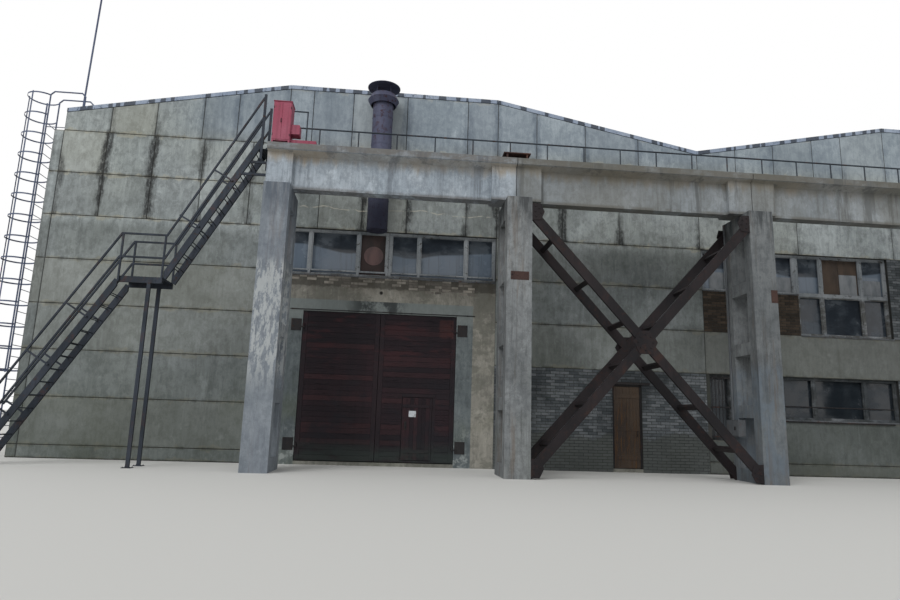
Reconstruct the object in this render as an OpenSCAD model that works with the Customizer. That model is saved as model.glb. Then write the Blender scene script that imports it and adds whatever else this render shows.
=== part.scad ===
// Two span factory hall of precast concrete panels, with a concrete crane trestle along its front.
// X runs along the front wall, Y into the hall and Z up. Sizes are millimetres.

/* [Hall] */
// Width of one bay between panel joints
bay_w = 6000; // [5900:20:6150]
// Height of one row of wall panels
row_h = 1200; // [1190:5:1230]
// Height of the bottom strip under the first panel joint
plinth_h = 330; // [300:10:380]
// Thickness of the outer walls
wall_t = 300; // [280:10:340]
// Depth of the hall between the outer faces of its front and rear walls
hall_d = 18000; // [12000:500:19000]
// Height of the gable edge above the tops of the side walls
edge_h = 530; // [500:10:600]
// Rise of the roof from the eave to the knee of each gable
roof_rise = 1170; // [900:10:1300]
// Thickness of the roof plates
roof_t = 420; // [380:10:440]
// Height of the metal trim on the gable edges
trim_h = 110; // [80:10:150]

/* [Gate] */
// Distance from the bay joint to the gateway
gate_inset = 790; // [780:5:830]
// Width of the gateway
gate_w = 4150; // [4050:10:4180]
// Height of the gateway
gate_h = 4030; // [3950:10:4050]
// Thickness of the timber gate leaves
leaf_t = 70; // [60:5:80]
// Width of the wicket door in the right leaf
wicket_w = 790; // [740:10:820]
// Height of the wicket door
wicket_h = 1630; // [1600:10:1750]
// Width of the pale concrete gate surround
surround_w = 450; // [400:10:470]

/* [Side door] */
// Distance from the bay joint to the side doorway
door_inset = 3290; // [3100:10:3500]
// Width of the side doorway
door_w = 830; // [800:10:900]
// Height of the side doorway
door_h = 2350; // [2200:10:2400]

/* [Windows] */
// Width of a window frame bar seen from the front
frame_w = 70; // [60:5:80]
// Depth of the window frames
frame_d = 100; // [80:5:120]
// Thickness of the window glass
glass_t = 8; // [6:1:12]
// Width of the brick piers between the ribbon windows
brick_pier_w = 500; // [400:10:600]

/* [Trestle] */
// Distance from the wall face to the front face of the piers
pier_out = 2970; // [2950:10:3050]
// Width of a pier seen from the front
pier_w = 600; // [560:10:640]
// Depth of a pier over both branches
pier_d = 1290; // [1250:10:1320]
// Height of the piers
pier_h = 6520; // [6450:10:6600]
// Thickness of one branch of a pier
branch_t = 300; // [260:10:320]
// Height of the beams
beam_h = 1050; // [1000:10:1100]
// Width of the top flange of the beams
flange_w = 800; // [760:10:840]
// Thickness of the web of the beams
web_t = 300; // [260:10:340]
// Height of the walkway railing
rail_h = 950; // [900:10:1100]

/* [Stair] */
// Width of the stair over its stringers
stair_w = 700; // [660:10:720]
// Height of the stair landing
landing_z = 4250; // [4150:10:4350]
// Left end of the landing
landing_x = 2900; // [2850:10:2950]
// Length of the landing
landing_l = 1000; // [960:10:1050]

/* [Ladder] */
// Distance between the stiles of the roof ladder
ladder_w = 500; // [450:10:550]
// Distance from the side wall to the ladder stiles
ladder_off = 550; // [500:10:600]
// Spacing of the cage hoops
hoop_pitch = 600; // [550:10:700]

/* [Hidden] */
$fn = 32;

bays = 6;
span_w = 3 * bay_w;
hall_w = bays * bay_w;
half_w = bay_w / 2;
function joint(n) = plinth_h + n * row_h;
eave_z = joint(7);
edge_z = eave_z + edge_h;
knee_z = edge_z + roof_rise;
side_t = 250;
ledge_w = 150;
slab_h = 90;
slack = 10;
seat = 0.3;
trim_out = 25;
trim_gap = 5;

gate_x = bay_w + gate_inset;
gate_mid = gate_x + gate_w / 2;
gate_right = gate_x + gate_w;
gate_sill = joint(4) - 100;
lintel_h = 320;
leaf_y = 30;
leaf_foot = 110;
pin_r = 14;
eye_r = 26;
pin_y = -5;
pin_in = 32;
meeting = 6;
pin_gap = 0.5;
knuckle_r = 10;
knuckle_out = 12;
hinge_plate = 50;
hinge_z = [520, 3640];
strap_reach = 380;
strap_h = 80;
plate_gap = 60;
plate_w = 270;
plate_h = 320;
plate_t = 12;
arm_t = 30;
arm_r = 24;
wicket_right = gate_right - 600;
wicket_left = wicket_right - wicket_w;
wicket_z = leaf_foot + 60;
wicket_hinge_z = [wicket_z + 250, wicket_z + wicket_h - 250];

door_x = 2 * bay_w + door_inset;
door_y = 40;
frame_t = 50;

window_y = 80;
side_pier = 300;
mid_pier = 200;
unit_x = 3.5 * bay_w - 100;
low_window_x = 3 * bay_w + 100;
low_window_w = 1200;
low_sill = 920;
low_band_x = 3 * bay_w + 2250;

pier_x = [for (n = [0 : 5]) n == 0 ? bay_w + 390 : n == 5 ? hall_w - 260 : (n + 1) * bay_w + 80];
pier_y0 = -pier_out;
pier_y1 = pier_y0 + pier_d;
spacer_pitch = 1500;
spacer_h = 300;
head_h = 500;
beam_x0 = bay_w + 60;
beam_gap = 20;
trestle_w = 5 * bay_w - beam_gap;
beam_y = pier_y0 + pier_d / 2 - 75;
beam_top = pier_h + beam_h;
flange_t = 150;
end_block = 600;
end_w = 560;
walk_y0 = beam_y + flange_w / 2;
walk_w = 450;
walk_y1 = walk_y0 + walk_w;
walk_t = 8;
edge_bar_w = 60;
edge_bar_h = 80;
post_half = 25;
rail_in = 1250;
rail_short = 100;
frame_up = 1400;
frame_x = [320, 700];
chord_h = 220;
gusset_r = 290;
gusset_tall = 1.1;
function post_x(n) = beam_x0 + 40 + n * (trestle_w - 80) / 30;

stair_y0 = -2400;
stair_y1 = stair_y0 + stair_w;
stringer_h = 140;
stringer_t = 60;
foot_x = 340;
landing_end = landing_x + landing_l;
landing_post_x = landing_x + 700;
top_x = beam_x0 - 180;
tread_w = 110;
rail_up = 1100;
low_a = [foot_x - 150, -250];
low_b = [landing_x, landing_z - 100];
up_a = [landing_end, landing_z];
up_b = [top_x, beam_top + 250];
function up_at(z) = up_a[0] + (z - up_a[1]) * (up_b[0] - up_a[0]) / (up_b[1] - up_a[1]);

ladder_y0 = 550;
ladder_x = -side_t - ladder_off;
ladder_land = 150;
cage_r = 400;
cage_d = sqrt(cage_r * cage_r - ladder_w * ladder_w / 4);
cage_a = atan2(ladder_w / 2, cage_d) + 3;
hoops = 14;
function roof_at(x) = edge_z + x * roof_rise / bay_w;
ladder_foot = 300;
ladder_ties = [1500, 3900, 6300];
ladder_top = edge_z + 850;
stile_r = 20;
stile_bend = 100;
stile_path = [[ladder_x, ladder_top - stile_bend], [ladder_x + stile_bend, ladder_top],
    [ladder_land - stile_bend, ladder_top], [ladder_land, ladder_top - stile_bend]];

vent_x = bay_w + 2650;
vent_y = -520;
vent_r = 280;
vent_foot = joint(5) - 130;
vent_top = joint(7) + 1350;
inlet_r = 180;
inlet_up = 350;
cap_up = 280;
cap_out = 175;
clamp_w = 60;
mast_x = 60;
mast_y = 650;
mast_h = 4200;
mast_lean = 90;
mast_r = 25;

cabinet_w = 430;
cabinet_d = [-220, 180];
cabinet_foot = 120;
cabinet_h = 1010;
cabinet_leg = 40;
side_box_w = 210;
cable_box_w = 620;
cable_box_h = 200;
switch_size = [180, 560, 400];
switch_z = 1050;
conduit_r = 25;
clip_z = [2500, 4000, 5500];
clip_t = 30;

x_min = ladder_x - cage_d - cage_r - 3;
x_max = hall_w + side_t;
x_mid = (x_min + x_max) / 2;
y_mid = (pier_y0 + hall_d + trim_out) / 2;

// Everything is drawn from the front left corner of the hall, then set about the middle of its ground
module place() translate([-x_mid, -y_mid, 0]) children();

// Box between two corners along each axis
module block(x, y, z)
    translate([x[0], y[0], z[0]])
        cube([x[1] - x[0], y[1] - y[0], z[1] - z[0]]);

// Outline drawn in X and Z, as deep as y says
module profile(y, points)
    translate([0, y[1], 0])
        rotate([90, 0, 0])
            linear_extrude(height = y[1] - y[0])
                polygon(points);

// Straight flat bar between two points in X and Z, as deep as y says
module bar(a, b, h, y)
    translate([a[0], y[0], a[1]])
        rotate([0, -atan2(b[1] - a[1], b[0] - a[0]), 0])
            translate([0, 0, -h / 2])
                cube([norm(b - a), y[1] - y[0], h]);

// Round bar between two points
module rod(a, b, r, sides = 8) {
    d = b - a;
    translate(a)
        rotate([0, acos(d[2] / norm(d)), atan2(d[1], d[0])])
            cylinder(h = norm(d), r = r, $fn = sides);
}

module floor_slab()
    color("gray")
        place()
            difference() {
                block([0, hall_w], [0, hall_d - wall_t], [0, slab_h]);
                block([-1, gate_x], [-1, wall_t], [-1, slab_h + 1]);
                block([gate_right, door_x], [-1, wall_t], [-1, slab_h + 1]);
                block([door_x + door_w, hall_w + 1], [-1, wall_t], [-1, slab_h + 1]);
            }

module front_block(x, z)
    color("darkgray")
        place()
            block(x, [0, wall_t], z);

module left_bay_wall() front_block([0, bay_w], [0, eave_z]);
module gate_wall_left() front_block([bay_w, gate_x - surround_w], [0, gate_sill]);
module gate_wall_right() front_block([gate_right + surround_w, 2 * bay_w], [0, gate_sill]);
module gate_surround_left() front_block([gate_x - surround_w, gate_x], [0, gate_h + lintel_h]);
module gate_surround_right() front_block([gate_right, gate_right + surround_w], [0, gate_h + lintel_h]);
module gate_lintel() front_block([gate_x, gate_right], [gate_h, gate_h + lintel_h]);
module gate_spandrel()
    front_block([gate_x - surround_w, gate_right + surround_w], [gate_h + lintel_h, gate_sill]);

// Panels over the windows and both gables, cut from one outline
module gabled_slab(y, left, foot)
    profile(y, concat([[0, edge_z], [0, eave_z], [left, eave_z], [left, foot], [hall_w, foot]],
        [for (x = [span_w, 0]) each [[x + span_w, edge_z], [x + 2 * bay_w, knee_z],
            [x + bay_w, knee_z]]]));

module upper_front_wall()
    color("darkgray")
        place()
            gabled_slab([0, wall_t], bay_w, joint(5));

module bay3_panels() front_block([2 * bay_w, 3 * bay_w], [joint(2), joint(5)]);
module door_brick_left() front_block([2 * bay_w, door_x], [0, joint(2)]);
module door_brick_right() front_block([door_x + door_w, 3 * bay_w], [0, joint(2)]);
module door_brick_over() front_block([door_x, door_x + door_w], [door_h, joint(2)]);
module front_mid_wall() front_block([3 * bay_w, hall_w], [joint(2), joint(3)]);

// Low strip under the ribbon windows, notched for the deeper barred window
module front_low_wall()
    color("darkgray")
        place()
            difference() {
                block([3 * bay_w, hall_w], [0, wall_t], [0, joint(1)]);
                block([low_window_x, low_window_x + low_window_w], [-1, wall_t + 1],
                    [low_sill, joint(1) + 1]);
            }

// Brick at the bay joints between the ribbon windows, and where it closes part of a strip
module front_brickwork() {
    for (n = [4 : 6], z = [[joint(1), joint(2)], [joint(3), joint(5)]])
        front_block([n * bay_w - brick_pier_w / 2, min(n * bay_w + brick_pier_w / 2, hall_w)], z);
    front_block([3 * bay_w, unit_x], [joint(3), joint(4)]);
    front_block([3 * bay_w, low_window_x], [joint(1), joint(2)]);
    front_block([low_window_x + low_window_w, low_band_x], [joint(1), joint(2)]);
}

// What is drawn for the front wall, set on the rear, left or right wall as that is seen from outside
module in_wall(side)
    if (side == "rear")
        translate([hall_w, hall_d, 0]) rotate([0, 0, 180]) children();
    else if (side == "left")
        translate([-side_t, hall_d, 0]) rotate([0, 0, -90]) children();
    else if (side == "right")
        translate([hall_w + side_t, 0, 0]) rotate([0, 0, 90]) children();
    else
        children();

// Openings for the windows of one wall, cut from its children
module with_openings(side)
    difference() {
        children();
        in_wall(side)
            for (x = wall_windows(side), z = [[joint(1), joint(2)], [joint(3), joint(5)]])
                block(x, [-2, wall_t + ledge_w], z);
    }

module rear_wall()
    color("darkgray")
        place()
            with_openings("rear")
                gabled_slab([hall_d - wall_t, hall_d], 0, 0);

// The side walls pass the ends of the front wall, and carry the roof plates on an inner leaf
module left_wall()
    color("darkgray")
        place()
            with_openings("left") {
                block([-side_t, 0], [0, hall_d], [0, eave_z]);
                block([-1, ledge_w], [wall_t, hall_d - wall_t], [slab_h, eave_z]);
            }

module right_wall()
    color("darkgray")
        place()
            with_openings("right") {
                block([hall_w, hall_w + side_t], [0, hall_d], [0, eave_z]);
                block([hall_w - ledge_w, hall_w + 1], [wall_t, hall_d - wall_t], [slab_h, eave_z]);
            }

// Bent roof of one span between the gables, with a flat seat at the eave and at the valley
module roof(x)
    color("dimgray")
        place()
            profile([wall_t, hall_d - wall_t], [[x, eave_z], [x + ledge_w, eave_z],
                [x + bay_w, knee_z - roof_t], [x + 2 * bay_w, knee_z - roof_t],
                [x + span_w - ledge_w, eave_z], [x + span_w, eave_z], [x + span_w, edge_z],
                [x + 2 * bay_w, knee_z], [x + bay_w, knee_z], [x, edge_z]]);

module left_roof() roof(0);
module right_roof() roof(span_w);

// Columns under the valley between the spans, with the beam that they carry
module valley_frame()
    color("gray")
        place() {
            block([span_w - ledge_w, span_w + ledge_w], [wall_t, hall_d - wall_t], [eave_z - 700, eave_z]);
            for (n = [1 : 2])
                block([span_w - ledge_w, span_w + ledge_w],
                    [n * hall_d / 3 - ledge_w, n * hall_d / 3 + ledge_w], [slab_h, eave_z - 699]);
        }

// Folded metal trim along the gables, one length to each straight edge
module trim_length(a, b, y)
    color("lightsteelblue")
        place()
            profile(y, [a + [0, seat], b + [0, seat], b + [0, trim_h], a + [0, trim_h]]);

module roof_edge_trim() {
    dip = roof_rise * trim_gap / bay_w;
    for (x = [0, span_w], y = [[-trim_out, wall_t], [hall_d - wall_t, hall_d + trim_out]]) {
        trim_length([x + trim_gap, edge_z + dip], [x + bay_w - trim_gap, knee_z - dip], y);
        trim_length([x + bay_w + trim_gap, knee_z], [x + 2 * bay_w - trim_gap, knee_z], y);
        trim_length([x + 2 * bay_w + trim_gap, knee_z - dip], [x + span_w - trim_gap, edge_z + dip], y);
    }
}

// Left and right edge of each window of the rear or a side wall, as seen from outside. The side walls
// have none in their first bay, where the ladder stands.
function wall_windows(side) =
    side == "rear" ? [for (n = [0 : bays - 1]) each bay_windows(n, bay_w)]
    : [for (n = side == "left" ? [0, 1] : [1, 2]) each bay_windows(n, hall_d / 3)];
function bay_windows(n, w) = [[n * w + side_pier, n * w + w / 2 - mid_pier],
    [n * w + w / 2 + mid_pier, (n + 1) * w - side_pier]];

// Window frame with a post at each x in posts and a bar at each z in bars
module window_frame(x, z, posts, bars = [], side = "front") {
    edges_x = concat([x[0] + frame_w / 2], posts, [x[1] - frame_w / 2]);
    edges_z = concat([z[0] + frame_w / 2], bars, [z[1] - frame_w / 2]);
    color("dimgray")
        place()
            in_wall(side)
                translate([0, window_y + frame_d, 0])
                    rotate([90, 0, 0])
                        linear_extrude(height = frame_d)
                            difference() {
                                translate([x[0], z[0]])
                                    square([x[1] - x[0], z[1] - z[0]]);
                                for (i = [0 : len(edges_x) - 2], j = [0 : len(edges_z) - 2])
                                    translate([edges_x[i] + frame_w / 2, edges_z[j] + frame_w / 2])
                                        square([edges_x[i + 1] - edges_x[i] - frame_w,
                                            edges_z[j + 1] - edges_z[j] - frame_w]);
                            }
}

// Each window unit is [left, right, bottom, top] and three panes wide
function right_units(z, first) = concat(first, [for (n = [4, 5], side = [0, 1])
    side == 0
        ? [n * bay_w + brick_pier_w / 2, n * bay_w + half_w, z[0], z[1]]
        : [n * bay_w + half_w, (n + 1) * bay_w - brick_pier_w / 2, z[0], z[1]]]);
upper_units = right_units([joint(3), joint(5)], [
    [bay_w, bay_w + half_w, gate_sill, joint(5)],
    [bay_w + half_w, 2 * bay_w, gate_sill, joint(5)],
    [3 * bay_w, unit_x, joint(4), joint(5)],
    [unit_x, 4 * bay_w - brick_pier_w / 2, joint(3), joint(5)]]);
lower_units = right_units([joint(1), joint(2)], [
    [low_band_x, 4 * bay_w - brick_pier_w / 2, joint(1), joint(2)]]);

module window_unit(u, side = "front")
    window_frame([u[0] + 4, u[1] - 4], [u[2], u[3]],
        [u[0] + 0.28 * (u[1] - u[0]), u[0] + 0.72 * (u[1] - u[0])], u[2] == joint(3) ? [joint(4)] : [],
        side);

other_sides = ["rear", "left", "right"];

module upper_window_frames() {
    for (u = upper_units)
        window_unit(u);
    for (side = other_sides, x = wall_windows(side))
        window_unit([x[0], x[1], joint(3), joint(5)], side);
}

module lower_window_frames() {
    for (u = lower_units)
        window_unit(u);
    for (side = other_sides, x = wall_windows(side))
        window_unit([x[0], x[1], joint(1), joint(2)], side);
    window_frame([low_window_x, low_window_x + low_window_w], [low_sill, joint(2)],
        [low_window_x + low_window_w / 2]);
}

module glass_sheet(u, side = "front")
    color("lightblue", 0.5)
        place()
            in_wall(side)
                block([u[0] + 20, u[1] - 20], [window_y + frame_d, window_y + frame_d + glass_t],
                    [u[2] + 20, u[3] - 20]);

module upper_glass() {
    for (u = upper_units)
        glass_sheet(u);
    for (side = other_sides, x = wall_windows(side))
        glass_sheet([x[0], x[1], joint(3), joint(5)], side);
}

module lower_glass() {
    for (u = lower_units)
        glass_sheet(u);
    for (side = other_sides, x = wall_windows(side))
        glass_sheet([x[0], x[1], joint(1), joint(2)], side);
    glass_sheet([low_window_x, low_window_x + low_window_w, low_sill, joint(2)]);
}

left_pin_x = gate_x + pin_in;
right_pin_x = gate_right - pin_in;

// Strap on a gate leaf with the eye that turns on its pin
module strap(x, reach, z) {
    height = [z - strap_h / 2, z + strap_h / 2];
    block([min(x, x + reach), max(x, x + reach)], [leaf_y - 10, leaf_y + 1], height);
    block([x - eye_r, x + eye_r], [pin_y, leaf_y], height);
    translate([x, pin_y, height[0]])
        cylinder(h = strap_h, r = eye_r);
}

module pin_holes(x)
    for (z = hinge_z)
        translate([x, pin_y, z - strap_h / 2 - 1])
            cylinder(h = strap_h + 2, r = pin_r + pin_gap);

// Two knuckles and the pin of a butt hinge, on the side that stays still
module fixed_knuckles(p, side)
    translate(p) {
        for (z = [-55, 25]) {
            translate([0, 0, z])
                cylinder(h = 30, r = knuckle_r);
            block([min(0, side * hinge_plate), max(0, side * hinge_plate)], [4, knuckle_out + 1],
                [z, z + 30]);
        }
        cylinder(h = 110, r = 5, center = true);
    }

// Middle knuckle of a butt hinge with its plate, on the side that turns
module turning_knuckle(p, side)
    translate(p)
        difference() {
            union() {
                cylinder(h = 40, r = knuckle_r, center = true);
                block([min(0, side * hinge_plate), max(0, side * hinge_plate)], [4, knuckle_out + 1],
                    [-20, 20]);
            }
            cylinder(h = 42, r = 5 + pin_gap, center = true);
        }

module gate_leaf_left()
    color("saddlebrown")
        place()
            difference() {
                union() {
                    block([gate_x + slack, gate_mid - meeting], [leaf_y, leaf_y + leaf_t],
                        [leaf_foot, gate_h - slack]);
                    for (z = hinge_z)
                        strap(left_pin_x, strap_reach, z);
                }
                pin_holes(left_pin_x);
            }

module gate_leaf_right() {
    color("saddlebrown")
        place()
            difference() {
                union() {
                    block([gate_mid + meeting, gate_right - slack], [leaf_y, leaf_y + leaf_t],
                        [leaf_foot, gate_h - slack]);
                    for (z = hinge_z)
                        strap(right_pin_x, -strap_reach, z);
                }
                pin_holes(right_pin_x);
                block([wicket_left - 8, wicket_right + 8], [leaf_y - 20, leaf_y + leaf_t + 1],
                    [wicket_z - 8, wicket_z + wicket_h + 8]);
            }
    color("saddlebrown")
        place()
            for (z = wicket_hinge_z)
                fixed_knuckles([wicket_right + 4, leaf_y - knuckle_out, z], 1);
}

// Small door in the right leaf, hung on its right edge
module wicket_door()
    color("peru")
        place() {
            block([wicket_left, wicket_right], [leaf_y, leaf_y + 45], [wicket_z, wicket_z + wicket_h]);
            for (z = wicket_hinge_z)
                turning_knuckle([wicket_right + 4, leaf_y - knuckle_out, z], -1);
        }

// Plate on the surround with an arm under the eye and the pin that stands in it
module hinge_bracket(x, side, z) {
    out = x - side * plate_gap;
    arm = [z - strap_h / 2 - arm_t - 1, z - strap_h / 2 - 1];
    block([min(out, out - side * plate_w), max(out, out - side * plate_w)], [-plate_t, 0],
        [z - plate_h / 2, z + plate_h / 2]);
    block([min(out - side * plate_gap, x + side * arm_r), max(out - side * plate_gap, x + side * arm_r)],
        [pin_y - arm_r + 2, 1 - plate_t], arm);
    translate([x, pin_y, arm[0]])
        cylinder(h = arm_t, r = arm_r);
    translate([x, pin_y, arm[1] - 1])
        cylinder(h = strap_h + 16, r = pin_r);
}

module gate_hinge_brackets()
    color("dimgray")
        place()
            for (z = hinge_z) {
                hinge_bracket(left_pin_x, 1, z);
                hinge_bracket(right_pin_x, -1, z);
            }

// Plank door in the brick infill of the third bay, hung on its left edge
module side_door_frame()
    color("dimgray")
        place() {
            difference() {
                block([door_x, door_x + door_w], [door_y, door_y + 100], [slab_h, door_h]);
                block([door_x + frame_t, door_x + door_w - frame_t], [door_y - 1, door_y + 101],
                    [slab_h - 1, door_h - frame_t]);
            }
            for (z = [500, 1850])
                fixed_knuckles([door_x + frame_t + 3, door_y - knuckle_out, z], -1);
        }

module side_door()
    color("burlywood")
        place() {
            block([door_x + frame_t + 6, door_x + door_w - frame_t - 6], [door_y, door_y + 40],
                [slab_h + 12, door_h - frame_t - 6]);
            for (z = [500, 1850])
                turning_knuckle([door_x + frame_t + 3, door_y - knuckle_out, z], 1);
        }

// Pier of two branches with a solid head, a foot block and spacers between the branches
module pier(n)
    color("silver")
        place()
            translate([pier_x[n], 0, 0]) {
                x = [-pier_w / 2, pier_w / 2];
                y = [pier_y0 + branch_t - 1, pier_y1 - branch_t + 1];
                block(x, [pier_y0, pier_y0 + branch_t], [0, pier_h]);
                block(x, [pier_y1 - branch_t, pier_y1], [0, pier_h]);
                block(x, y, [0, spacer_h]);
                for (k = [1 : 3])
                    block(x, y, [k * spacer_pitch, k * spacer_pitch + spacer_h]);
                block(x, y, [pier_h - head_h, pier_h]);
            }

module pier_1() pier(0);
module pier_2() pier(1);
module pier_3() pier(2);
module pier_4() pier(3);
module pier_5() pier(4);
module pier_6() pier(5);

// A section is given as its right half, from the foot up
function both_sides(half) = concat(half, [for (i = [len(half) - 1 : -1 : 0]) [-half[i][0], half[i][1]]]);

beam_half = [[web_t / 2, 0], [web_t / 2, beam_h - flange_t - 100], [flange_w / 2, beam_h - flange_t],
    [flange_w / 2, beam_h]];

// One beam from bay to bay, its web thickened over each pier
module beam(x)
    translate([x, beam_y, pier_h]) {
        rotate([90, 0, 90])
            linear_extrude(height = bay_w - beam_gap)
                polygon(both_sides(beam_half));
        for (u = [0, bay_w - beam_gap - end_block])
            block([u, u + end_block], [-end_w / 2, end_w / 2], [0, beam_h - flange_t]);
    }

module trestle_beams()
    color("silver")
        place()
            for (n = [0 : 4])
                beam(beam_x0 + n * bay_w);

// Flat bottomed rail on the beams
rail_half = [[60, 0], [60, 12], [8, 25], [8, 85], [33, 95], [33, 120]];

module crane_rail()
    color("sienna")
        place()
            translate([beam_x0 + rail_in, beam_y, beam_top])
                rotate([90, 0, 90])
                    linear_extrude(height = trestle_w - rail_in - rail_short)
                        polygon(both_sides(rail_half));

// Plated walkway behind the beams, on brackets bolted to their flanges
module walkway()
    color("dimgray")
        place() {
            under = [beam_top - walk_t - edge_bar_h, beam_top - walk_t + 1];
            block([beam_x0, beam_x0 + trestle_w], [walk_y0, walk_y1], [beam_top - walk_t, beam_top]);
            block([beam_x0, beam_x0 + trestle_w], [walk_y1 - edge_bar_w, walk_y1], under);
            for (n = [0 : 30])
                block([post_x(n) - post_half, post_x(n) + post_half],
                    [walk_y0, walk_y1 - edge_bar_w + 1], under);
        }

// Posts one metre apart on the outer edge of the walkway with one top rail
module walkway_railing()
    color("darkslategray")
        place() {
            y = walk_y1 - edge_bar_w / 2;
            for (n = [0 : 30])
                rod([post_x(n), y, beam_top], [post_x(n), y, beam_top + rail_h], 18);
            rod([post_x(0) - 18, y, beam_top + rail_h], [post_x(30) + 18, y, beam_top + rail_h], 22);
            for (x = frame_x)
                rod([beam_x0 + x, y, beam_top], [beam_x0 + x, y, beam_top + frame_up], 18);
            rod([beam_x0 + frame_x[0] - 20, y, beam_top + frame_up],
                [beam_x0 + frame_x[1] + 20, y, beam_top + frame_up], 20);
        }

// Steel angles that tie the walkway back to the wall beside each pier
module wall_ties()
    color("dimgray")
        place()
            for (x = pier_x)
                block([x - 50, x + 50], [walk_y1, 0],
                    [beam_top - walk_t - edge_bar_h, beam_top - walk_t]);

// Crossed bracing between two piers. Each diagonal has a front and a rear chord joined by battens.
brace_x = [pier_x[1] + pier_w / 2, pier_x[2] - pier_w / 2];
brace_z = [150, 6150];
brace_d = [brace_x[1] - brace_x[0], brace_z[1] - brace_z[0]];
brace_u = brace_d / norm(brace_d);

// A diagonal runs up to the right when way is 1 and down when way is -1
function brace_point(t, way) = [brace_x[0] + t * brace_d[0],
    (way > 0 ? brace_z[0] : brace_z[1]) + way * t * brace_d[1]];

module brace_chords(way, extra = 0)
    for (y = [[pier_y0 + 20, pier_y0 + 90], [pier_y1 - 90, pier_y1 - 20]])
        bar(brace_point(-0.1, way), brace_point(1.1, way), chord_h + extra, y + [-extra, extra]);

module brace_battens(way)
    for (t = [0.1, 0.26, 0.42, 0.58, 0.74, 0.9])
        bar(brace_point(t, way) - 60 * [brace_u[0], way * brace_u[1]],
            brace_point(t, way) + 60 * [brace_u[0], way * brace_u[1]], 80,
            [pier_y0 + 80, pier_y1 - 80]);

// Plates over the crossing on both faces
module crossing_plates()
    for (y = [[pier_y0 + 8, pier_y0 + 20 - seat], [pier_y1 - 20 + seat, pier_y1 - 8]])
        profile(y, [for (a = [0 : 60 : 300])
            brace_point(0.5, 1) + gusset_r * [cos(a), gusset_tall * sin(a)]]);

module brace_falling()
    color("dimgray")
        place()
            intersection() {
                union() {
                    brace_chords(-1);
                    brace_battens(-1);
                    crossing_plates();
                }
                block(brace_x, [pier_y0, pier_y1], [0, pier_h]);
            }

// The rising diagonal is cut at the crossing, where plates join it to the other one
module brace_rising()
    color("dimgray")
        place()
            difference() {
                intersection() {
                    union() {
                        brace_chords(1);
                        brace_battens(1);
                    }
                    block(brace_x, [pier_y0, pier_y1], [0, pier_h]);
                }
                brace_chords(-1, 0.5);
            }

// Stair against the trestle end: two stringers a flight with two round bars to a tread
module flight(a, b, steps) {
    for (y = [stair_y0, stair_y1 - stringer_t])
        bar(a, b, stringer_h, [y, y + stringer_t]);
    for (n = [1 : steps], s = [-tread_w / 2, tread_w / 2])
        rod([a[0] + n * (b[0] - a[0]) / (steps + 1) + s, stair_y0 + stringer_t - 1,
                a[1] + n * (b[1] - a[1]) / (steps + 1)],
            [a[0] + n * (b[0] - a[0]) / (steps + 1) + s, stair_y1 - stringer_t + 1,
                a[1] + n * (b[1] - a[1]) / (steps + 1)], 12);
}

module stair_lower_flight()
    color("black")
        place()
            intersection() {
                flight(low_a, low_b, 14);
                block([0, landing_x], [stair_y0, stair_y1], [0, landing_z]);
            }

// The upper flight ends in a plate that bridges to the trestle
module stair_upper_flight()
    color("black")
        place() {
            intersection() {
                flight(up_a, up_b, 11);
                block([landing_end, top_x], [stair_y0, stair_y1], [landing_z - 200, beam_top + 400]);
            }
            block([up_at(beam_top), beam_x0], [stair_y0 + stringer_t - 1, stair_y1 - stringer_t + 1],
                [beam_top - 20, beam_top]);
            for (z = [beam_top - 370, beam_top - 680])
                block([up_at(z), beam_x0 - seat], [stair_y0 + 10, stair_y0 + 50],
                    [z - 30, z + 30]);
        }

// Deck of the landing between two edge channels, with the two posts that carry it
module stair_landing()
    color("black")
        place() {
            block([landing_x, landing_end], [stair_y0, stair_y1], [landing_z - 30, landing_z]);
            for (y = [stair_y0, stair_y1 - stringer_t]) {
                block([landing_x, landing_end], [y, y + stringer_t],
                    [landing_z - stringer_h, landing_z - 29]);
                block([landing_post_x - 40, landing_post_x + 40], [y, y + stringer_t],
                    [0, landing_z - stringer_h + 1]);
            }
        }

// Corner of a rail h thick at b, where it turns from the line a to b into the line b to c
function mitre(a, b, c, h) =
    let (u = (b - a) / norm(b - a), v = (c - b) / norm(c - b), n = [-u[1] - v[1], u[0] + v[0]])
    b + n * h / (n * [-u[1], u[0]]);

// Post square to a flight, from its stringer to the handrail
module side_post(a, b, t, y) {
    u = (b - a) / norm(b - a);
    p = a + t * (b - a);
    bar(p, p + rail_up * u[0] * [-u[1], u[0]], 36, y);
}

// Rails and posts on the outer face of one side of the stair
module side_rail(y) {
    low = low_a + 0.1 * (low_b - low_a);
    high = up_b - [20, 0];
    for (h = [rail_up / 2, rail_up]) {
        a = low + [0, h];
        b = low_b + [0, h];
        c = [landing_end, low_b[1] + h];
        d = high + [0, h];
        profile(y, [mitre(2 * a - b, a, b, 20), mitre(a, b, c, 20), mitre(b, c, d, 20),
            mitre(c, d, 2 * d - c, 20), mitre(c, d, 2 * d - c, -20), mitre(b, c, d, -20),
            mitre(a, b, c, -20), mitre(2 * a - b, a, b, -20)]);
    }
    post_y = y + [2, -2];
    for (x = [landing_x + 25, landing_end - 25])
        block([x - 20, x + 20], post_y, [landing_z - stringer_h + 10, landing_z + rail_up - 105]);
    block([high[0] - 40, high[0] + 20], post_y, [beam_top - 300, high[1] + rail_up + 30]);
    for (t = [0.3, 0.55, 0.8])
        side_post(low_a, low_b, t, post_y);
    for (t = [0.35, 0.68])
        side_post(up_a, up_b, t, post_y);
}

module stair_rail_near()
    color("black")
        place()
            side_rail([stair_y0 - 38, stair_y0 + 2]);

module stair_rail_far()
    color("black")
        place()
            side_rail([stair_y1 - 2, stair_y1 + 38]);

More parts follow.
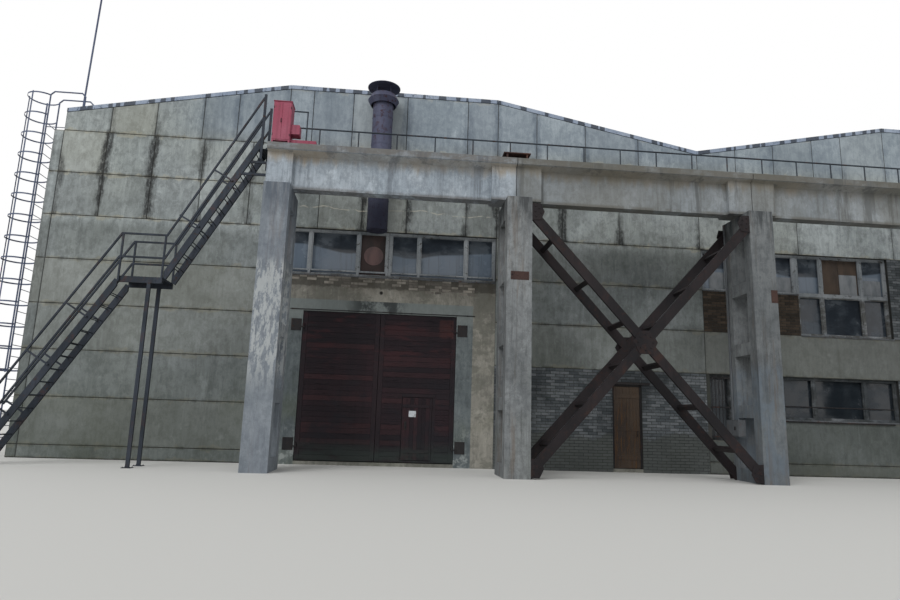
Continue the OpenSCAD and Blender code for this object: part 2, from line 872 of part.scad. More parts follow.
// Two stiles bend over the roof edge. Brackets hold them off the side wall.
module roof_ladder()
    color("darkslateblue")
        place() {
            for (y = [ladder_y0, ladder_y0 + ladder_w]) {
                rod([ladder_x, y, ladder_foot], [ladder_x, y, ladder_top - stile_bend], stile_r, 12);
                rod([ladder_x, y, ladder_top - stile_bend], [ladder_x + stile_bend, y, ladder_top],
                    stile_r, 12);
                rod([ladder_x + stile_bend, y, ladder_top], [ladder_land - stile_bend, y, ladder_top],
                    stile_r, 12);
                rod([ladder_land - stile_bend, y, ladder_top], [ladder_land, y, ladder_top - stile_bend],
                    stile_r, 12);
                rod([ladder_land, y, ladder_top - stile_bend],
                    [ladder_land, y, roof_at(ladder_land + stile_r)], stile_r, 12);
                for (p = stile_path)
                    translate([p[0], y, p[1]])
                        sphere(r = stile_r, $fn = 24);
                for (z = ladder_ties)
                    block([ladder_x, -side_t], [y - stile_r, y + stile_r], [z - 4, z + 4]);
                block([ladder_x, 0], [y - stile_r, y + stile_r], [edge_z - 230, edge_z - 222]);
            }
            for (n = [0 : 29])
                rod([ladder_x, ladder_y0, ladder_foot + 150 + n * 300],
                    [ladder_x, ladder_y0 + ladder_w, ladder_foot + 150 + n * 300], 10);
        }

// Hoops round the climbing side, with three upright straps inside them
module ladder_cage()
    color("slategray")
        place()
            translate([ladder_x - cage_d, ladder_y0 + ladder_w / 2, 0]) {
                for (n = [0 : hoops - 1])
                    translate([0, 0, ladder_top - 110 - n * hoop_pitch])
                        rotate([0, 0, cage_a])
                            rotate_extrude(angle = 360 - 2 * cage_a, $fn = 48)
                                translate([cage_r - 3, -20])
                                    square([6, 40]);
                for (a = [105, 180, 255])
                    rotate([0, 0, a])
                        block([cage_r - 9, cage_r], [-20, 20],
                            [ladder_top - 150 - (hoops - 1) * hoop_pitch, ladder_top - 70]);
            }

// Steel vent pipe on the wall with a collar and a cap
module vent_stack()
    color("darkslategray")
        place() {
            translate([vent_x, vent_y, 0]) {
                translate([0, 0, vent_foot])
                    cylinder(h = vent_top - vent_foot, r = vent_r);
                translate([0, 0, vent_top])
                    rotate_extrude()
                        polygon([[vent_r + 60, -250], [vent_r + 70, -250], [vent_r + 150, -100],
                            [vent_r + 60, 60], [vent_r + 50, 60], [vent_r + 140, -100]]);
                translate([0, 0, vent_top + cap_up])
                    rotate_extrude()
                        polygon([[0, 130], [60, 130], [vent_r + cap_out, 10], [vent_r + cap_out, 0],
                            [0, 60]]);
                for (a = [45 : 90 : 315])
                    rotate([0, 0, a])
                        block([vent_r - 20, vent_r + 145], [-10, 10], [vent_top - 110, vent_top - 90]);
                for (a = [45 : 90 : 315])
                    rotate([0, 0, a])
                        block([vent_r - 30, vent_r - 5], [-10, 10], [vent_top - 10, vent_top + cap_up + 65]);
            }
            for (z = [vent_foot + 700, vent_top - 1700])
                block([vent_x - clamp_w, vent_x + clamp_w], [vent_y, -seat], [z, z + clamp_w]);
            translate([vent_x, -seat, vent_foot + inlet_up])
                rotate([90, 0, 0])
                    cylinder(h = -vent_y - seat, r = inlet_r);
        }

// Electrical cabinets at the trestle end
module control_cabinet()
    color("indianred")
        place() {
            x = [beam_x0 + cabinet_leg, beam_x0 + cabinet_leg + cabinet_w];
            y = [beam_y + cabinet_d[0], beam_y + cabinet_d[1]];
            foot = beam_top + cabinet_foot;
            block(x, y, [foot, foot + cabinet_h]);
            for (xx = [x[0], x[1] - cabinet_leg], yy = [y[0], y[1] - cabinet_leg])
                block([xx, xx + cabinet_leg], [yy, yy + cabinet_leg], [beam_top, foot + 1]);
            block([x[1] - 1, x[1] + side_box_w], [y[0] + 60, y[1] - 60], [foot + 210, foot + 450]);
            block([x[1] - 1, x[1] + cable_box_w], [y[0] + 100, y[1] - 100],
                [beam_top, beam_top + cable_box_h]);
        }

module pier_switch()
    color("gainsboro")
        place()
            translate([pier_x[2] - pier_w / 2, 0, 0]) {
                y = pier_y1 - 60;
                top = switch_z + switch_size[2];
                block([-switch_size[0], 0], [y - switch_size[1], y], [switch_z, top]);
                rod([-conduit_r - 1, y - 60, top - 1], [-conduit_r - 1, y - 60, pier_h - 20], conduit_r, 12);
                for (z = clip_z)
                    block([-conduit_r - 1, 0], [y - 60 - clip_t / 2, y - 60 + clip_t / 2], [z, z + clip_t]);
            }

module mast_rod()
    color("steelblue")
        place()
            rod([mast_x, mast_y, roof_at(mast_x + mast_r) + 1],
                [mast_x + mast_lean, mast_y, roof_at(mast_x) + mast_h], mast_r, 12);

floor_slab();
left_bay_wall();
gate_wall_left();
gate_wall_right();
gate_surround_left();
gate_surround_right();
gate_lintel();
gate_spandrel();
upper_front_wall();
bay3_panels();
door_brick_left();
door_brick_right();
door_brick_over();
front_low_wall();
front_mid_wall();
front_brickwork();
left_wall();
right_wall();
rear_wall();
left_roof();
right_roof();
valley_frame();
roof_edge_trim();
upper_window_frames();
lower_window_frames();
upper_glass();
lower_glass();
gate_leaf_left();
gate_leaf_right();
wicket_door();
gate_hinge_brackets();
side_door_frame();
side_door();
pier_1();
pier_2();
pier_3();
pier_4();
pier_5();
pier_6();
trestle_beams();
crane_rail();
walkway();
walkway_railing();
wall_ties();
brace_rising();
brace_falling();
stair_lower_flight();
stair_upper_flight();
stair_landing();
stair_rail_near();
stair_rail_far();
roof_ladder();
ladder_cage();
vent_stack();
control_cabinet();
pier_switch();
mast_rod();
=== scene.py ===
"""Finishes and fine pieces of a factory hall with a crane trestle, in metres, in the frame of its solids."""
import math
import random

import bmesh
import bpy
from mathutils import Matrix, Vector


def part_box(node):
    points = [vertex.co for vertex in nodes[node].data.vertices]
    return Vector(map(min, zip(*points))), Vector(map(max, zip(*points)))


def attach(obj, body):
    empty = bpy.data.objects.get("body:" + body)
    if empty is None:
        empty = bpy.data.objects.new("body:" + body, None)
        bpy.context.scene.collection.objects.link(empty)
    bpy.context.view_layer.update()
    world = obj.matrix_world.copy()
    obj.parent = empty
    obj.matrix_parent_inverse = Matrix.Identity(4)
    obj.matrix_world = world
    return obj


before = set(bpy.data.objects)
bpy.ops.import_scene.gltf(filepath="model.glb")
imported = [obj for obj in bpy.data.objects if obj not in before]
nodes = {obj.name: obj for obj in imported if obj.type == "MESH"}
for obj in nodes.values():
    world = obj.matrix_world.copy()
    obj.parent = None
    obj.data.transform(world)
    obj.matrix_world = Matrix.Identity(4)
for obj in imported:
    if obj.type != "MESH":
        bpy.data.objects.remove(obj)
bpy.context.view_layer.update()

# Camera
# Eye height in the yard, a little left of the gate, with a wide lens that looks up at the eaves.
# Places in this script are measured from the front left corner of the hall, along its front, into it and up.
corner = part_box("left_bay_wall")[0]
photo_w = 900
focal_px = 643.3
camera_place = (9.229, -17.369, 1.198)
camera_yaw = math.radians(4.96)
camera_pitch = math.radians(10.71)
camera_roll = math.radians(1.75)
view_end = 1500


def at(x, y, z):
    return Vector((corner.x + x, corner.y + y, z))


def turn(angle, axis):
    return Matrix.Rotation(angle, 4, axis)


camera_data = bpy.data.cameras.new("camera")
camera_data.sensor_width = 36
camera_data.lens = focal_px / photo_w * camera_data.sensor_width
camera_data.clip_end = view_end
camera = bpy.data.objects.new("camera", camera_data)
aimed = turn(-camera_yaw, "Z") @ turn(math.pi / 2 + camera_pitch, "X") @ turn(camera_roll, "Z")
camera.matrix_world = Matrix.Translation(at(*camera_place)) @ aimed
bpy.context.scene.collection.objects.link(camera)
bpy.context.scene.camera = camera
bpy.context.scene.view_settings.view_transform = "Standard"

# Floor and light
# A plain pale floor under an even white sky, with one broad soft lamp from the left for form.
# The sky is white where it is seen or mirrored, and dimmer where it lights the hall.
floor_half = 500
floor_colour = (0.62, 0.62, 0.60, 1)
sky_light = 0.62
lamp_strength = 1.35
lamp_spread = math.radians(35)
lamp_tilt, lamp_turn = math.radians(48), math.radians(-32)

floor_mesh = bpy.data.meshes.new("floor")
floor_mesh.from_pydata(
    [(x * floor_half, y * floor_half, 0) for x, y in ((-1, -1), (1, -1), (1, 1), (-1, 1))],
    [], [(0, 1, 2, 3)],
)
floor_piece = bpy.data.objects.new("floor", floor_mesh)
bpy.context.scene.collection.objects.link(floor_piece)
floor_finish = bpy.data.materials.new("floor_finish")
floor_finish.use_nodes = True
floor_shader = floor_finish.node_tree.nodes["Principled BSDF"]
floor_shader.inputs["Base Color"].default_value = floor_colour
floor_shader.inputs["Roughness"].default_value = 0.9
floor_mesh.materials.append(floor_finish)


class Nodes:
    """Builds up a tree of nodes, whose inputs are given as values or as what another node puts out."""

    def __init__(self, tree):
        self.tree = tree

    def add(self, kind, inputs=None, **settings):
        node = self.tree.nodes.new(kind)
        for key, value in settings.items():
            setattr(node, key, value)
        for key, value in (inputs or {}).items():
            self.give(node.inputs[key], value)
        return node

    def give(self, socket, value):
        if isinstance(value, bpy.types.NodeSocket):
            self.tree.links.new(value, socket)
        else:
            socket.default_value = value

    def calc(self, operation, a, b=0.0):
        return self.add("ShaderNodeMath", {0: a, 1: b}, operation=operation).outputs[0]

    def plus(self, a, b):
        return self.calc("ADD", a, b)

    def minus(self, a, b):
        return self.calc("SUBTRACT", a, b)

    def times(self, *values):
        product = values[0]
        for value in values[1:]:
            product = self.calc("MULTIPLY", product, value)
        return product


world = bpy.data.worlds.new("sky")
bpy.context.scene.world = world
world.use_nodes = True
background = world.node_tree.nodes["Background"]
background.inputs["Color"].default_value = (1, 1, 1, 1)
sky = Nodes(world.node_tree)
ray = sky.add("ShaderNodeLightPath").outputs
seen = sky.calc("MAXIMUM", ray["Is Camera Ray"], ray["Is Glossy Ray"])
strength = sky.add("ShaderNodeMapRange", {"Value": seen, "To Min": sky_light, "To Max": 1.0})
sky.give(background.inputs["Strength"], strength.outputs["Result"])

lamp_data = bpy.data.lights.new("lamp", "SUN")
lamp_data.energy = lamp_strength
lamp_data.angle = lamp_spread
lamp = bpy.data.objects.new("lamp", lamp_data)
lamp.rotation_euler = (lamp_tilt, 0, lamp_turn)
bpy.context.scene.collection.objects.link(lamp)

# Precast wall panels
# Storey-wide slabs of lightweight concrete, 1.2 m high, hung on the frame with mortar in the joints.
# Each slab is a thin face with worn edges over the solid wall, whose own surface shows as the mortar.
front_low, front_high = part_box("front_mid_wall")
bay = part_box("left_bay_wall")[1].x - corner.x
row = front_high.z - front_low.z
first_joint = front_low.z - 2 * row
hall_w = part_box("floor_slab")[1].x - corner.x
hall_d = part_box("rear_wall")[1].y - corner.y
span = 3 * bay
eave = first_joint + 7 * row
skin = 0.014
edge_wear = 0.016
joint_gap = 0.018
ground_gap = 0.01
eave_rise = 0.53
knee_rise = 1.17


def joint(n):
    return first_joint + n * row


class Finish(Nodes):
    """One procedural material, laid coat on coat, that reads the piece's own coordinates in metres."""

    def __init__(self, name, roughness=0.85, metallic=0.0, gloss=0.5):
        self.material = bpy.data.materials.new(name)
        self.material.use_nodes = True
        super().__init__(self.material.node_tree)
        self.shader = self.tree.nodes["Principled BSDF"]
        for label, value in (("Roughness", roughness), ("Metallic", metallic), ("Specular IOR Level", gloss)):
            self.shader.inputs[label].default_value = value
        self.place = self.add("ShaderNodeTexCoord").outputs["Object"]
        self.x, self.y, self.z = self.add("ShaderNodeSeparateXYZ", {"Vector": self.place}).outputs

    def along(self):
        """How far along the front a point is."""
        return self.minus(self.x, corner.x)

    def noise(self, scale, stretch=(1, 1, 1), detail=5, rough=0.6, warp=0.0, shift=0.0):
        place = self.add(
            "ShaderNodeMapping", {"Vector": self.place, "Scale": stretch, "Location": (shift, shift, shift)},
        ).outputs["Vector"]
        return self.add(
            "ShaderNodeTexNoise",
            {"Vector": place, "Scale": scale, "Detail": detail, "Roughness": rough, "Distortion": warp},
        ).outputs["Fac"]

    def step(self, value, low, high, start=0.0, end=1.0):
        """Smooth step from start to end as value goes from low to high."""
        return self.add(
            "ShaderNodeMapRange",
            {"Value": value, "From Min": low, "From Max": high, "To Min": start, "To Max": end},
            interpolation_type="SMOOTHSTEP",
        ).outputs["Result"]

    def off(self, value, low, high):
        """One below low and nothing above high."""
        return self.step(value, low, high, 1.0, 0.0)

    def patches(self, low, high, scale, stretch=(1, 1, 1), detail=5, rough=0.6, warp=0.0, shift=0.0,
                least=0.0, most=1.0):
        """Noise sharpened into patches between two of its levels."""
        return self.step(self.noise(scale, stretch, detail, rough, warp, shift), low, high, least, most)

    def read(self, name):
        """A number kept on the mesh."""
        return self.add("ShaderNodeAttribute", attribute_name=name).outputs["Fac"]

    def read_three(self, name):
        vector = self.add("ShaderNodeAttribute", attribute_name=name).outputs["Vector"]
        return self.add("ShaderNodeSeparateXYZ", {"Vector": vector}).outputs

    def mix(self, share, a, b, blend="MIX"):
        node = self.add("ShaderNodeMix", {0: share, 6: a, 7: b}, data_type="RGBA", blend_type=blend)
        return node.outputs[2]

    def base(self, share, first, second):
        self.colour = self.mix(share, paint(first), paint(second))

    def lay(self, colour, *shares, light=1.0, blend="MIX"):
        """Lays a coat over the colours so far, as strong as the shares multiplied."""
        self.colour = self.mix(self.times(*shares), self.colour, paint(colour, light), blend)

    def grit(self, grains, dark, pale):
        """Multiplies fine grains of two tones into the colour."""
        self.colour = self.mix(0.2, self.colour, self.mix(grains, paint(dark), paint(pale)), "MULTIPLY")

    def relief(self, *layers):
        """Bump from pairs of height and depth in metres."""
        normal = None
        for height, depth in layers:
            bump = self.add("ShaderNodeBump", {"Height": height, "Distance": depth, "Strength": 1.0})
            if normal:
                self.give(bump.inputs["Normal"], normal)
            normal = bump.outputs["Normal"]
        self.give(self.shader.inputs["Normal"], normal)

    def done(self, roughness=None):
        self.give(self.shader.inputs["Base Color"], self.colour)
        if roughness is not None:
            self.give(self.shader.inputs["Roughness"], roughness)
        return self.material


def paint(colour, light=1.0):
    """Red, green and blue as they show on a screen, from 0 to 255, as the light they stand for."""
    linear = (v / 12.92 if v <= 0.04045 else ((v + 0.055) / 1.055) ** 2.4 for v in (c / 255 for c in colour))
    return tuple(min(1, light * v) for v in linear) + (1,)


def concrete(name, pale, mid, dark, streaks=0.5, moss=0.25, marks=None):
    """Weathered concrete: clouds, run-down lines, lime, long dark runs, pale crust, moss low down, pits."""
    f = Finish(name, gloss=0.3)
    f.base(f.patches(0.34, 0.66, 0.5), mid, pale)
    f.lay(dark, f.patches(0.38, 0.70, 1.0, (11, 11, 1.3), 6, 0.66, 0.4, 1.0), 0.24)
    f.lay(dark, f.patches(0.44, 0.60, 5.2, (1, 1, 0.8), 10, 0.76, 0.3, 13.0), 0.34)
    f.lay(pale, f.patches(0.55, 0.70, 7.5, (1.2, 1.2, 0.7), 9, 0.72, 0.2, 15.0), 0.30, light=1.3)
    f.lay(pale, f.patches(0.54, 0.68, 1.0, (10, 10, 0.8), 8, 0.72, 0.2, 17.0), 0.26, light=1.35)
    runs = f.patches(0.50, 0.78, 1.0, (3.6, 3.6, 0.16), 8, 0.64, shift=3.0)
    fade = f.patches(0.38, 0.66, 0.55, (1, 1, 0.5), 4, 0.55, shift=11.0)
    f.lay(dark, runs, fade, streaks)
    f.lay(pale, f.patches(0.56, 0.72, 1.9, (1, 1, 0.7), 9, 0.70, 0.3, 7.0), 0.5, light=1.45)
    f.lay(dark, f.patches(0.54, 0.74, 3.4, (1, 1, 0.6), 8, 0.68, 0.2, 5.0), 0.34)
    green = f.patches(0.44, 0.70, 0.8, detail=6, shift=2.0)
    f.lay((92, 100, 72), f.step(f.z, 0.0, 3.4, 1.0, 0.10), green, moss)
    f.grit(f.patches(0.30, 0.70, 80, detail=3, rough=0.7), (96, 96, 92), (255, 255, 250))
    pits = f.add("ShaderNodeTexVoronoi", {"Vector": f.place, "Scale": 24.0}).outputs["Distance"]
    f.lay(dark, f.off(pits, 0.02, 0.13), f.patches(0.5, 0.62, 3.0, shift=9.0), 0.8)
    if marks:
        marks(f)
    f.relief((f.noise(9.0, detail=8, rough=0.7), 0.008), (f.step(pits, 0.0, 0.16), 0.003))
    return f.done()


def panel_marks(f):
    """Grime along each slab's edges, smeared mortar, painted bluish light on the gable, painted shade below
    the beam and low down (there mixed with green grime), a painted shadow low at the right, and a mended
    crack.
    """
    from_left, from_right, leak = f.read_three("across")
    from_foot, from_head, tone = f.read_three("upward")
    from_side = f.calc("MINIMUM", from_left, from_right)
    from_level = f.calc("MINIMUM", from_foot, from_head)
    f.lay((96, 98, 94), f.step(tone, 0.55, 1.0), 0.32)
    f.lay((182, 180, 164), f.step(tone, 0.30, 0.0), 0.30)
    smear_edge = f.times(f.patches(0.42, 0.70, 3.2, (0.8, 1, 1), 8, 0.7, 0.3, 24.0), 0.12)
    f.lay((178, 174, 156), f.off(f.minus(from_level, smear_edge), -0.02, 0.02), 0.50)
    wander = f.noise(2.6, (1, 1, 0.35), 8, 0.66, shift=21.0)
    f.lay((62, 62, 58), f.off(from_level, 0.0, 0.07), f.step(wander, 0.44, 0.60), 0.6)
    reach = f.times(f.step(wander, 0.34, 0.66), 0.17)
    leaks = f.patches(0.36, 0.54, 0.8, (1, 1, 0.4), 6, shift=23.0)
    torn = f.patches(0.34, 0.56, 11, (1, 1, 0.5), 6, 0.7, shift=27.0, least=0.45)
    f.lay((38, 39, 40), f.off(f.minus(from_side, reach), -0.07, 0.07), leak, leaks, torn, 0.90)
    cast = f.patches(0.40, 0.62, 0.33, (1, 1, 1.3), 4, 0.55, 0.4, 29.0)
    f.lay((150, 150, 118), cast, 0.22, blend="MULTIPLY")
    # Painted shade: the wall darkens below the beam, under joint 5.
    f.lay((68, 73, 70), f.step(f.z, joint(5) + 0.02, joint(5) - 0.35), 0.42)
    # Painted shade mixed with green grime, strongest at the foot of the wall.
    f.lay((58, 66, 58), f.off(f.z, 0.2, 4.2), 0.42)
    x = f.along()
    front = f.step(f.y, corner.y + 0.1, corner.y)
    # Painted light: a bluish, hazy sky light on the upper gable.
    f.lay((134, 154, 178), f.step(f.z, eave - 0.3, eave + 0.5), front, f.step(x, 2.2, 4.6), 0.34)
    # Painted shadow: darker below joint 3, from x 16.5 on.
    f.lay((60, 62, 62), f.step(x, 16.5, 18.2), f.step(f.z, joint(3) + 0.3, joint(3)), front, 0.35)
    crack_z = f.plus(f.times(f.noise(0.9, detail=3, shift=6.0), 0.55), 6.68)
    crack = f.off(f.calc("ABSOLUTE", f.minus(f.z, crack_z)), 0.008, 0.022)
    over_gate = f.times(f.step(x, 6.4, 6.6), f.off(x, 11.7, 11.9))
    f.lay((196, 192, 178), crack, front, over_gate, f.patches(0.36, 0.52, 5.0), 0.7)


panel_concrete = concrete(
    "panel_concrete", (195, 203, 205), (160, 168, 170), (82, 86, 87), 0.66, 0.40, panel_marks
)
mortar = concrete("joint_mortar", (74, 74, 72), (50, 51, 50), (26, 26, 27), 0.5, 0.3)
tones = random.Random(4)


def panel_face(bm, outline, depth_axis, face_at, out, leak):
    """One slab face. outline runs round it in (along, up); out is the way it faces on its depth axis."""
    tone = tones.random()
    across = bm.loops.layers.float_vector["across"]
    upward = bm.loops.layers.float_vector["upward"]
    alongs, heights = zip(*outline)
    middle_a, middle_z = sum(alongs) / len(outline), sum(heights) / len(outline)

    def point(p, inset, depth):
        a = p[0] + (inset if p[0] < middle_a else -inset)
        z = p[1] + (inset if p[1] < middle_z else -inset)
        d = face_at + out * depth
        return at(a, d, z) if depth_axis == "y" else at(d, a, z)

    worn = (edge_wear * 0.4, skin - edge_wear * 0.2)
    profile = ((0, -0.004), (0, skin - edge_wear * 0.6), worn, (edge_wear, skin))
    rings = [[bm.verts.new(point(p, inset, depth)) for p in outline] for inset, depth in profile]
    faces = [bm.faces.new(rings[-1]), bm.faces.new(rings[0][::-1])]
    for inner, outer in zip(rings[1:], rings):
        for i in range(len(outline)):
            j = (i + 1) % len(outline)
            faces.append(bm.faces.new((outer[i], outer[j], inner[j], inner[i])))
    for face in faces:
        for loop in face.loops:
            place = loop.vert.co - corner
            a = place.x if depth_axis == "y" else place.y
            loop[across] = (a - min(alongs), max(alongs) - a, leak)
            loop[upward] = (loop.vert.co.z - min(heights), max(heights) - loop.vert.co.z, tone)


def mesh_of(bm, material):
    mesh = bpy.data.meshes.new("mesh")
    bm.to_mesh(mesh)
    bm.free()
    mesh.materials.append(material)
    return mesh


def piece_of(name, mesh, body):
    """A finished piece that rides on a body and takes its finish from a slot."""
    mesh.name = name
    piece = bpy.data.objects.new(name, mesh)
    bpy.context.scene.collection.objects.link(piece)
    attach(piece, body)


def panel_piece(name, slabs, depth_axis, face_at, out):
    """One wall's slabs as one piece. A slab is (outline, share of black on its upright edges)."""
    bm = bmesh.new()
    bm.loops.layers.float_vector.new("across")
    bm.loops.layers.float_vector.new("upward")
    for outline, leak in slabs:
        panel_face(bm, outline, depth_axis, face_at, out, leak)
    bmesh.ops.recalc_face_normals(bm, faces=bm.faces)
    piece_of(name, mesh_of(bm, panel_concrete), "building")


def slab(low_x, high_x, low_z, high_z, leak=0.0):
    g = joint_gap / 2
    low_x, high_x, low_z, high_z = low_x + g, high_x - g, low_z + g, high_z - g
    return [(low_x, low_z), (high_x, low_z), (high_x, high_z), (low_x, high_z)], leak


def row_slabs(n, splits, leak=0.0):
    """Slabs of one row of panels between upright joints. Row -1 stands on the ground."""
    low = joint(n) if n >= 0 else ground_gap
    return [slab(a, b, low, joint(n + 1), leak) for a, b in zip(splits, splits[1:])]


roof_low, roof_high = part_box("left_roof")
gable_foot = eave + (roof_high.z - roof_low.z) * eave_rise / (eave_rise + knee_rise)
gable_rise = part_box("upper_front_wall")[1].z - gable_foot


def gable_slabs(splits):
    """Slabs under the roof line, which climbs over a bay, runs level over a bay and falls, for each span."""
    slabs = []
    g = joint_gap / 2
    for a, b in zip(splits, splits[1:]):
        top = []
        for x in (b - g, a + g):
            in_span = min(x, hall_w - x)
            top.append((x, gable_foot + gable_rise * min(1.0, in_span / bay, (span - in_span) / bay) - 0.01))
        slabs.append(([(a + g, eave + g), (b - g, eave + g), *top], 0.6))
    return slabs


left_cells = (0.0, 1.17, 2.44, 3.76, 5.09, bay)
gate_cells = (bay, 7.0, 8.2, 9.44, 11.12, 2 * bay)
door_cells = (2 * bay, 13.9, 15.58, 17.98)
far_cells = (17.98, 21.0, 24.0, 27.0, 30.0, 33.0, hall_w)
gable_cells = (0.0, 1.2, 2.4, 3.66, 4.6, bay, 6.66, 7.79, 9.34, 11.11, 2 * bay, 13.15, 14.6, 16.2, span)
gables = gable_slabs(gable_cells) + gable_slabs([span + x for x in gable_cells])
barred_right = span + 1.33
barred_sill = 0.92
window_rows = (1, 3, 4)
top_rows = (5, 6)
side_pier = 0.3
mid_pier = 0.2
side_edge = corner.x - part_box("left_wall")[0].x

front_slabs = row_slabs(-1, (0, bay))
for n in range(5):
    front_slabs += row_slabs(n, (0, bay), 0.15)
for n in top_rows:
    for cells in (left_cells, gate_cells, door_cells):
        front_slabs += row_slabs(n, cells, 1.0)
    front_slabs += row_slabs(n, far_cells, 0.6)
for n in (2, 3, 4):
    front_slabs += row_slabs(n, (2 * bay, 3 * bay), 0.4)
for n in (3, 4, 5):
    for r in (2, -1):
        front_slabs += row_slabs(r, (n * bay, (n + 1) * bay), 0.3)
front_slabs += row_slabs(0, (barred_right, 4 * bay), 0.3)
front_slabs.append(slab(span, barred_right, joint(0), barred_sill, 0.3))
front_slabs += row_slabs(0, (4 * bay, 5 * bay, hall_w), 0.3)
for n in range(-1, 7):
    front_slabs += row_slabs(n, (-side_edge, 0), 0.5) + row_slabs(n, (hall_w, hall_w + side_edge), 0.5)
panel_piece("front_wall_panels", front_slabs + gables, "y", 0.0, -1)


def windowed_slabs(bays, first_bay, pitch):
    """Slabs of a wall with two windows to a bay, from first_bay on, in the rows that have windows."""
    slabs = []
    for n in range(bays):
        left, right = n * pitch, (n + 1) * pitch
        middle = (left + right) / 2
        for r in range(-1, 7):
            if r in window_rows and n >= first_bay:
                slabs += row_slabs(r, (left, left + side_pier))
                slabs += row_slabs(r, (middle - mid_pier, middle + mid_pier))
                slabs += row_slabs(r, (right - side_pier, right))
            elif r in top_rows:
                slabs += row_slabs(r, (left, left + 0.22 * pitch, middle, left + 0.77 * pitch, right), 0.8)
            else:
                slabs += row_slabs(r, (left, right), 0.25)
    return slabs


panel_piece("rear_wall_panels", windowed_slabs(6, 0, bay) + gables, "y", hall_d, 1)
side_slabs = windowed_slabs(3, 1, hall_d / 3)
panel_piece("left_wall_panels", side_slabs, "x", -side_edge, -1)
panel_piece("right_wall_panels", side_slabs, "x", hall_w + side_edge, 1)

# Gateway surround and the plaster round it
# Pale precast jambs and lintel, set in brickwork that was plastered over and has since come away in patches.
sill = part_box("gate_spandrel")[1].z
weep_x, weep_z = 8.85, 4.6


def finish_nodes(material, *names):
    """Gives CAD pieces their finish."""
    for name in names:
        mesh = nodes[name].data
        mesh.materials.clear()
        mesh.materials.append(material)


def surround_marks(f):
    """Soot over the meeting of the leaves, and white lime low on the jambs."""
    x = f.along()
    f.lay((146, 153, 150), f.step(f.z, 3.6, 4.0), 0.5)
    over_meeting = f.times(f.step(x, 7.7, 8.4), f.off(x, 9.2, 9.7), f.step(f.z, 3.9, 4.1))
    f.lay((44, 48, 50), over_meeting, f.patches(0.42, 0.56, 2.6, (1, 1, 0.7), 8, 0.7, 0.3, 61.0), 0.85)
    lime = f.patches(0.50, 0.60, 3.4, detail=8, rough=0.7, shift=62.0)
    f.lay((170, 176, 174), f.step(f.z, 1.5, 0.0), lime, 0.6)


def plaster_marks(f):
    """Bare grey where the ochre render fell off, a weep hole drawn as a black disc of painted shade, and
    ragged dark masonry under the sill.
    """
    f.lay((112, 112, 104), f.patches(0.50, 0.56, 1.3, (1, 1, 1.6), 7, 0.66, 0.3, 31.0), 0.7)
    x = f.minus(f.x, corner.x + weep_x)
    z = f.minus(f.z, weep_z)
    away = f.calc("SQRT", f.plus(f.times(x, x), f.times(z, z)))
    # Painted shade: the weep hole is a black disc, standing for the dark inside it.
    f.lay((20, 20, 20), f.off(f.plus(away, f.times(f.noise(8), 0.05)), 0.05, 0.09))
    brown = f.patches(0.44, 0.58, 1.6, (1, 1, 0.5), 7, 0.66, 0.2, 33.0)
    f.lay((86, 80, 70), f.step(f.z, 4.35, 4.9), brown, 0.6)
    ragged = f.plus(f.z, f.times(f.noise(1.3, (1, 1, 1.6), 7, 0.7, 0.2, 35.0), 0.34))
    f.lay((66, 63, 58), f.step(ragged, sill - 0.16, sill - 0.10), 0.7)


surround_concrete = concrete(
    "surround_concrete", (124, 132, 134), (92, 100, 104), (44, 52, 56), 0.8, 0.45, surround_marks
)
old_plaster = concrete("old_plaster", (168, 165, 156), (132, 131, 124), (56, 57, 54), 0.6, 0.5, plaster_marks)
floor_concrete = concrete("floor_concrete", (150, 150, 142), (120, 120, 114), (70, 70, 66), 0.2, 0.15)
finish_nodes(
    mortar, "left_bay_wall", "upper_front_wall", "bay3_panels", "front_low_wall", "front_mid_wall",
    "left_wall", "right_wall", "rear_wall",
)
finish_nodes(surround_concrete, "gate_surround_left", "gate_surround_right", "gate_lintel")
finish_nodes(old_plaster, "gate_spandrel", "gate_wall_left", "gate_wall_right")
finish_nodes(floor_concrete, "floor_slab")

# Brickwork
# Silicate and clay bricks 250 x 80 mm in running bond, with wide mortar joints and some bricks set back.
# A small tree lays one rectangle of courses; boards, felt and plates further down use it too.
brick_l = 0.26
brick_h = 0.080
brick_joint = 0.012
brick_face = -0.012
brick_edge = 0.003
pier_half = 0.25


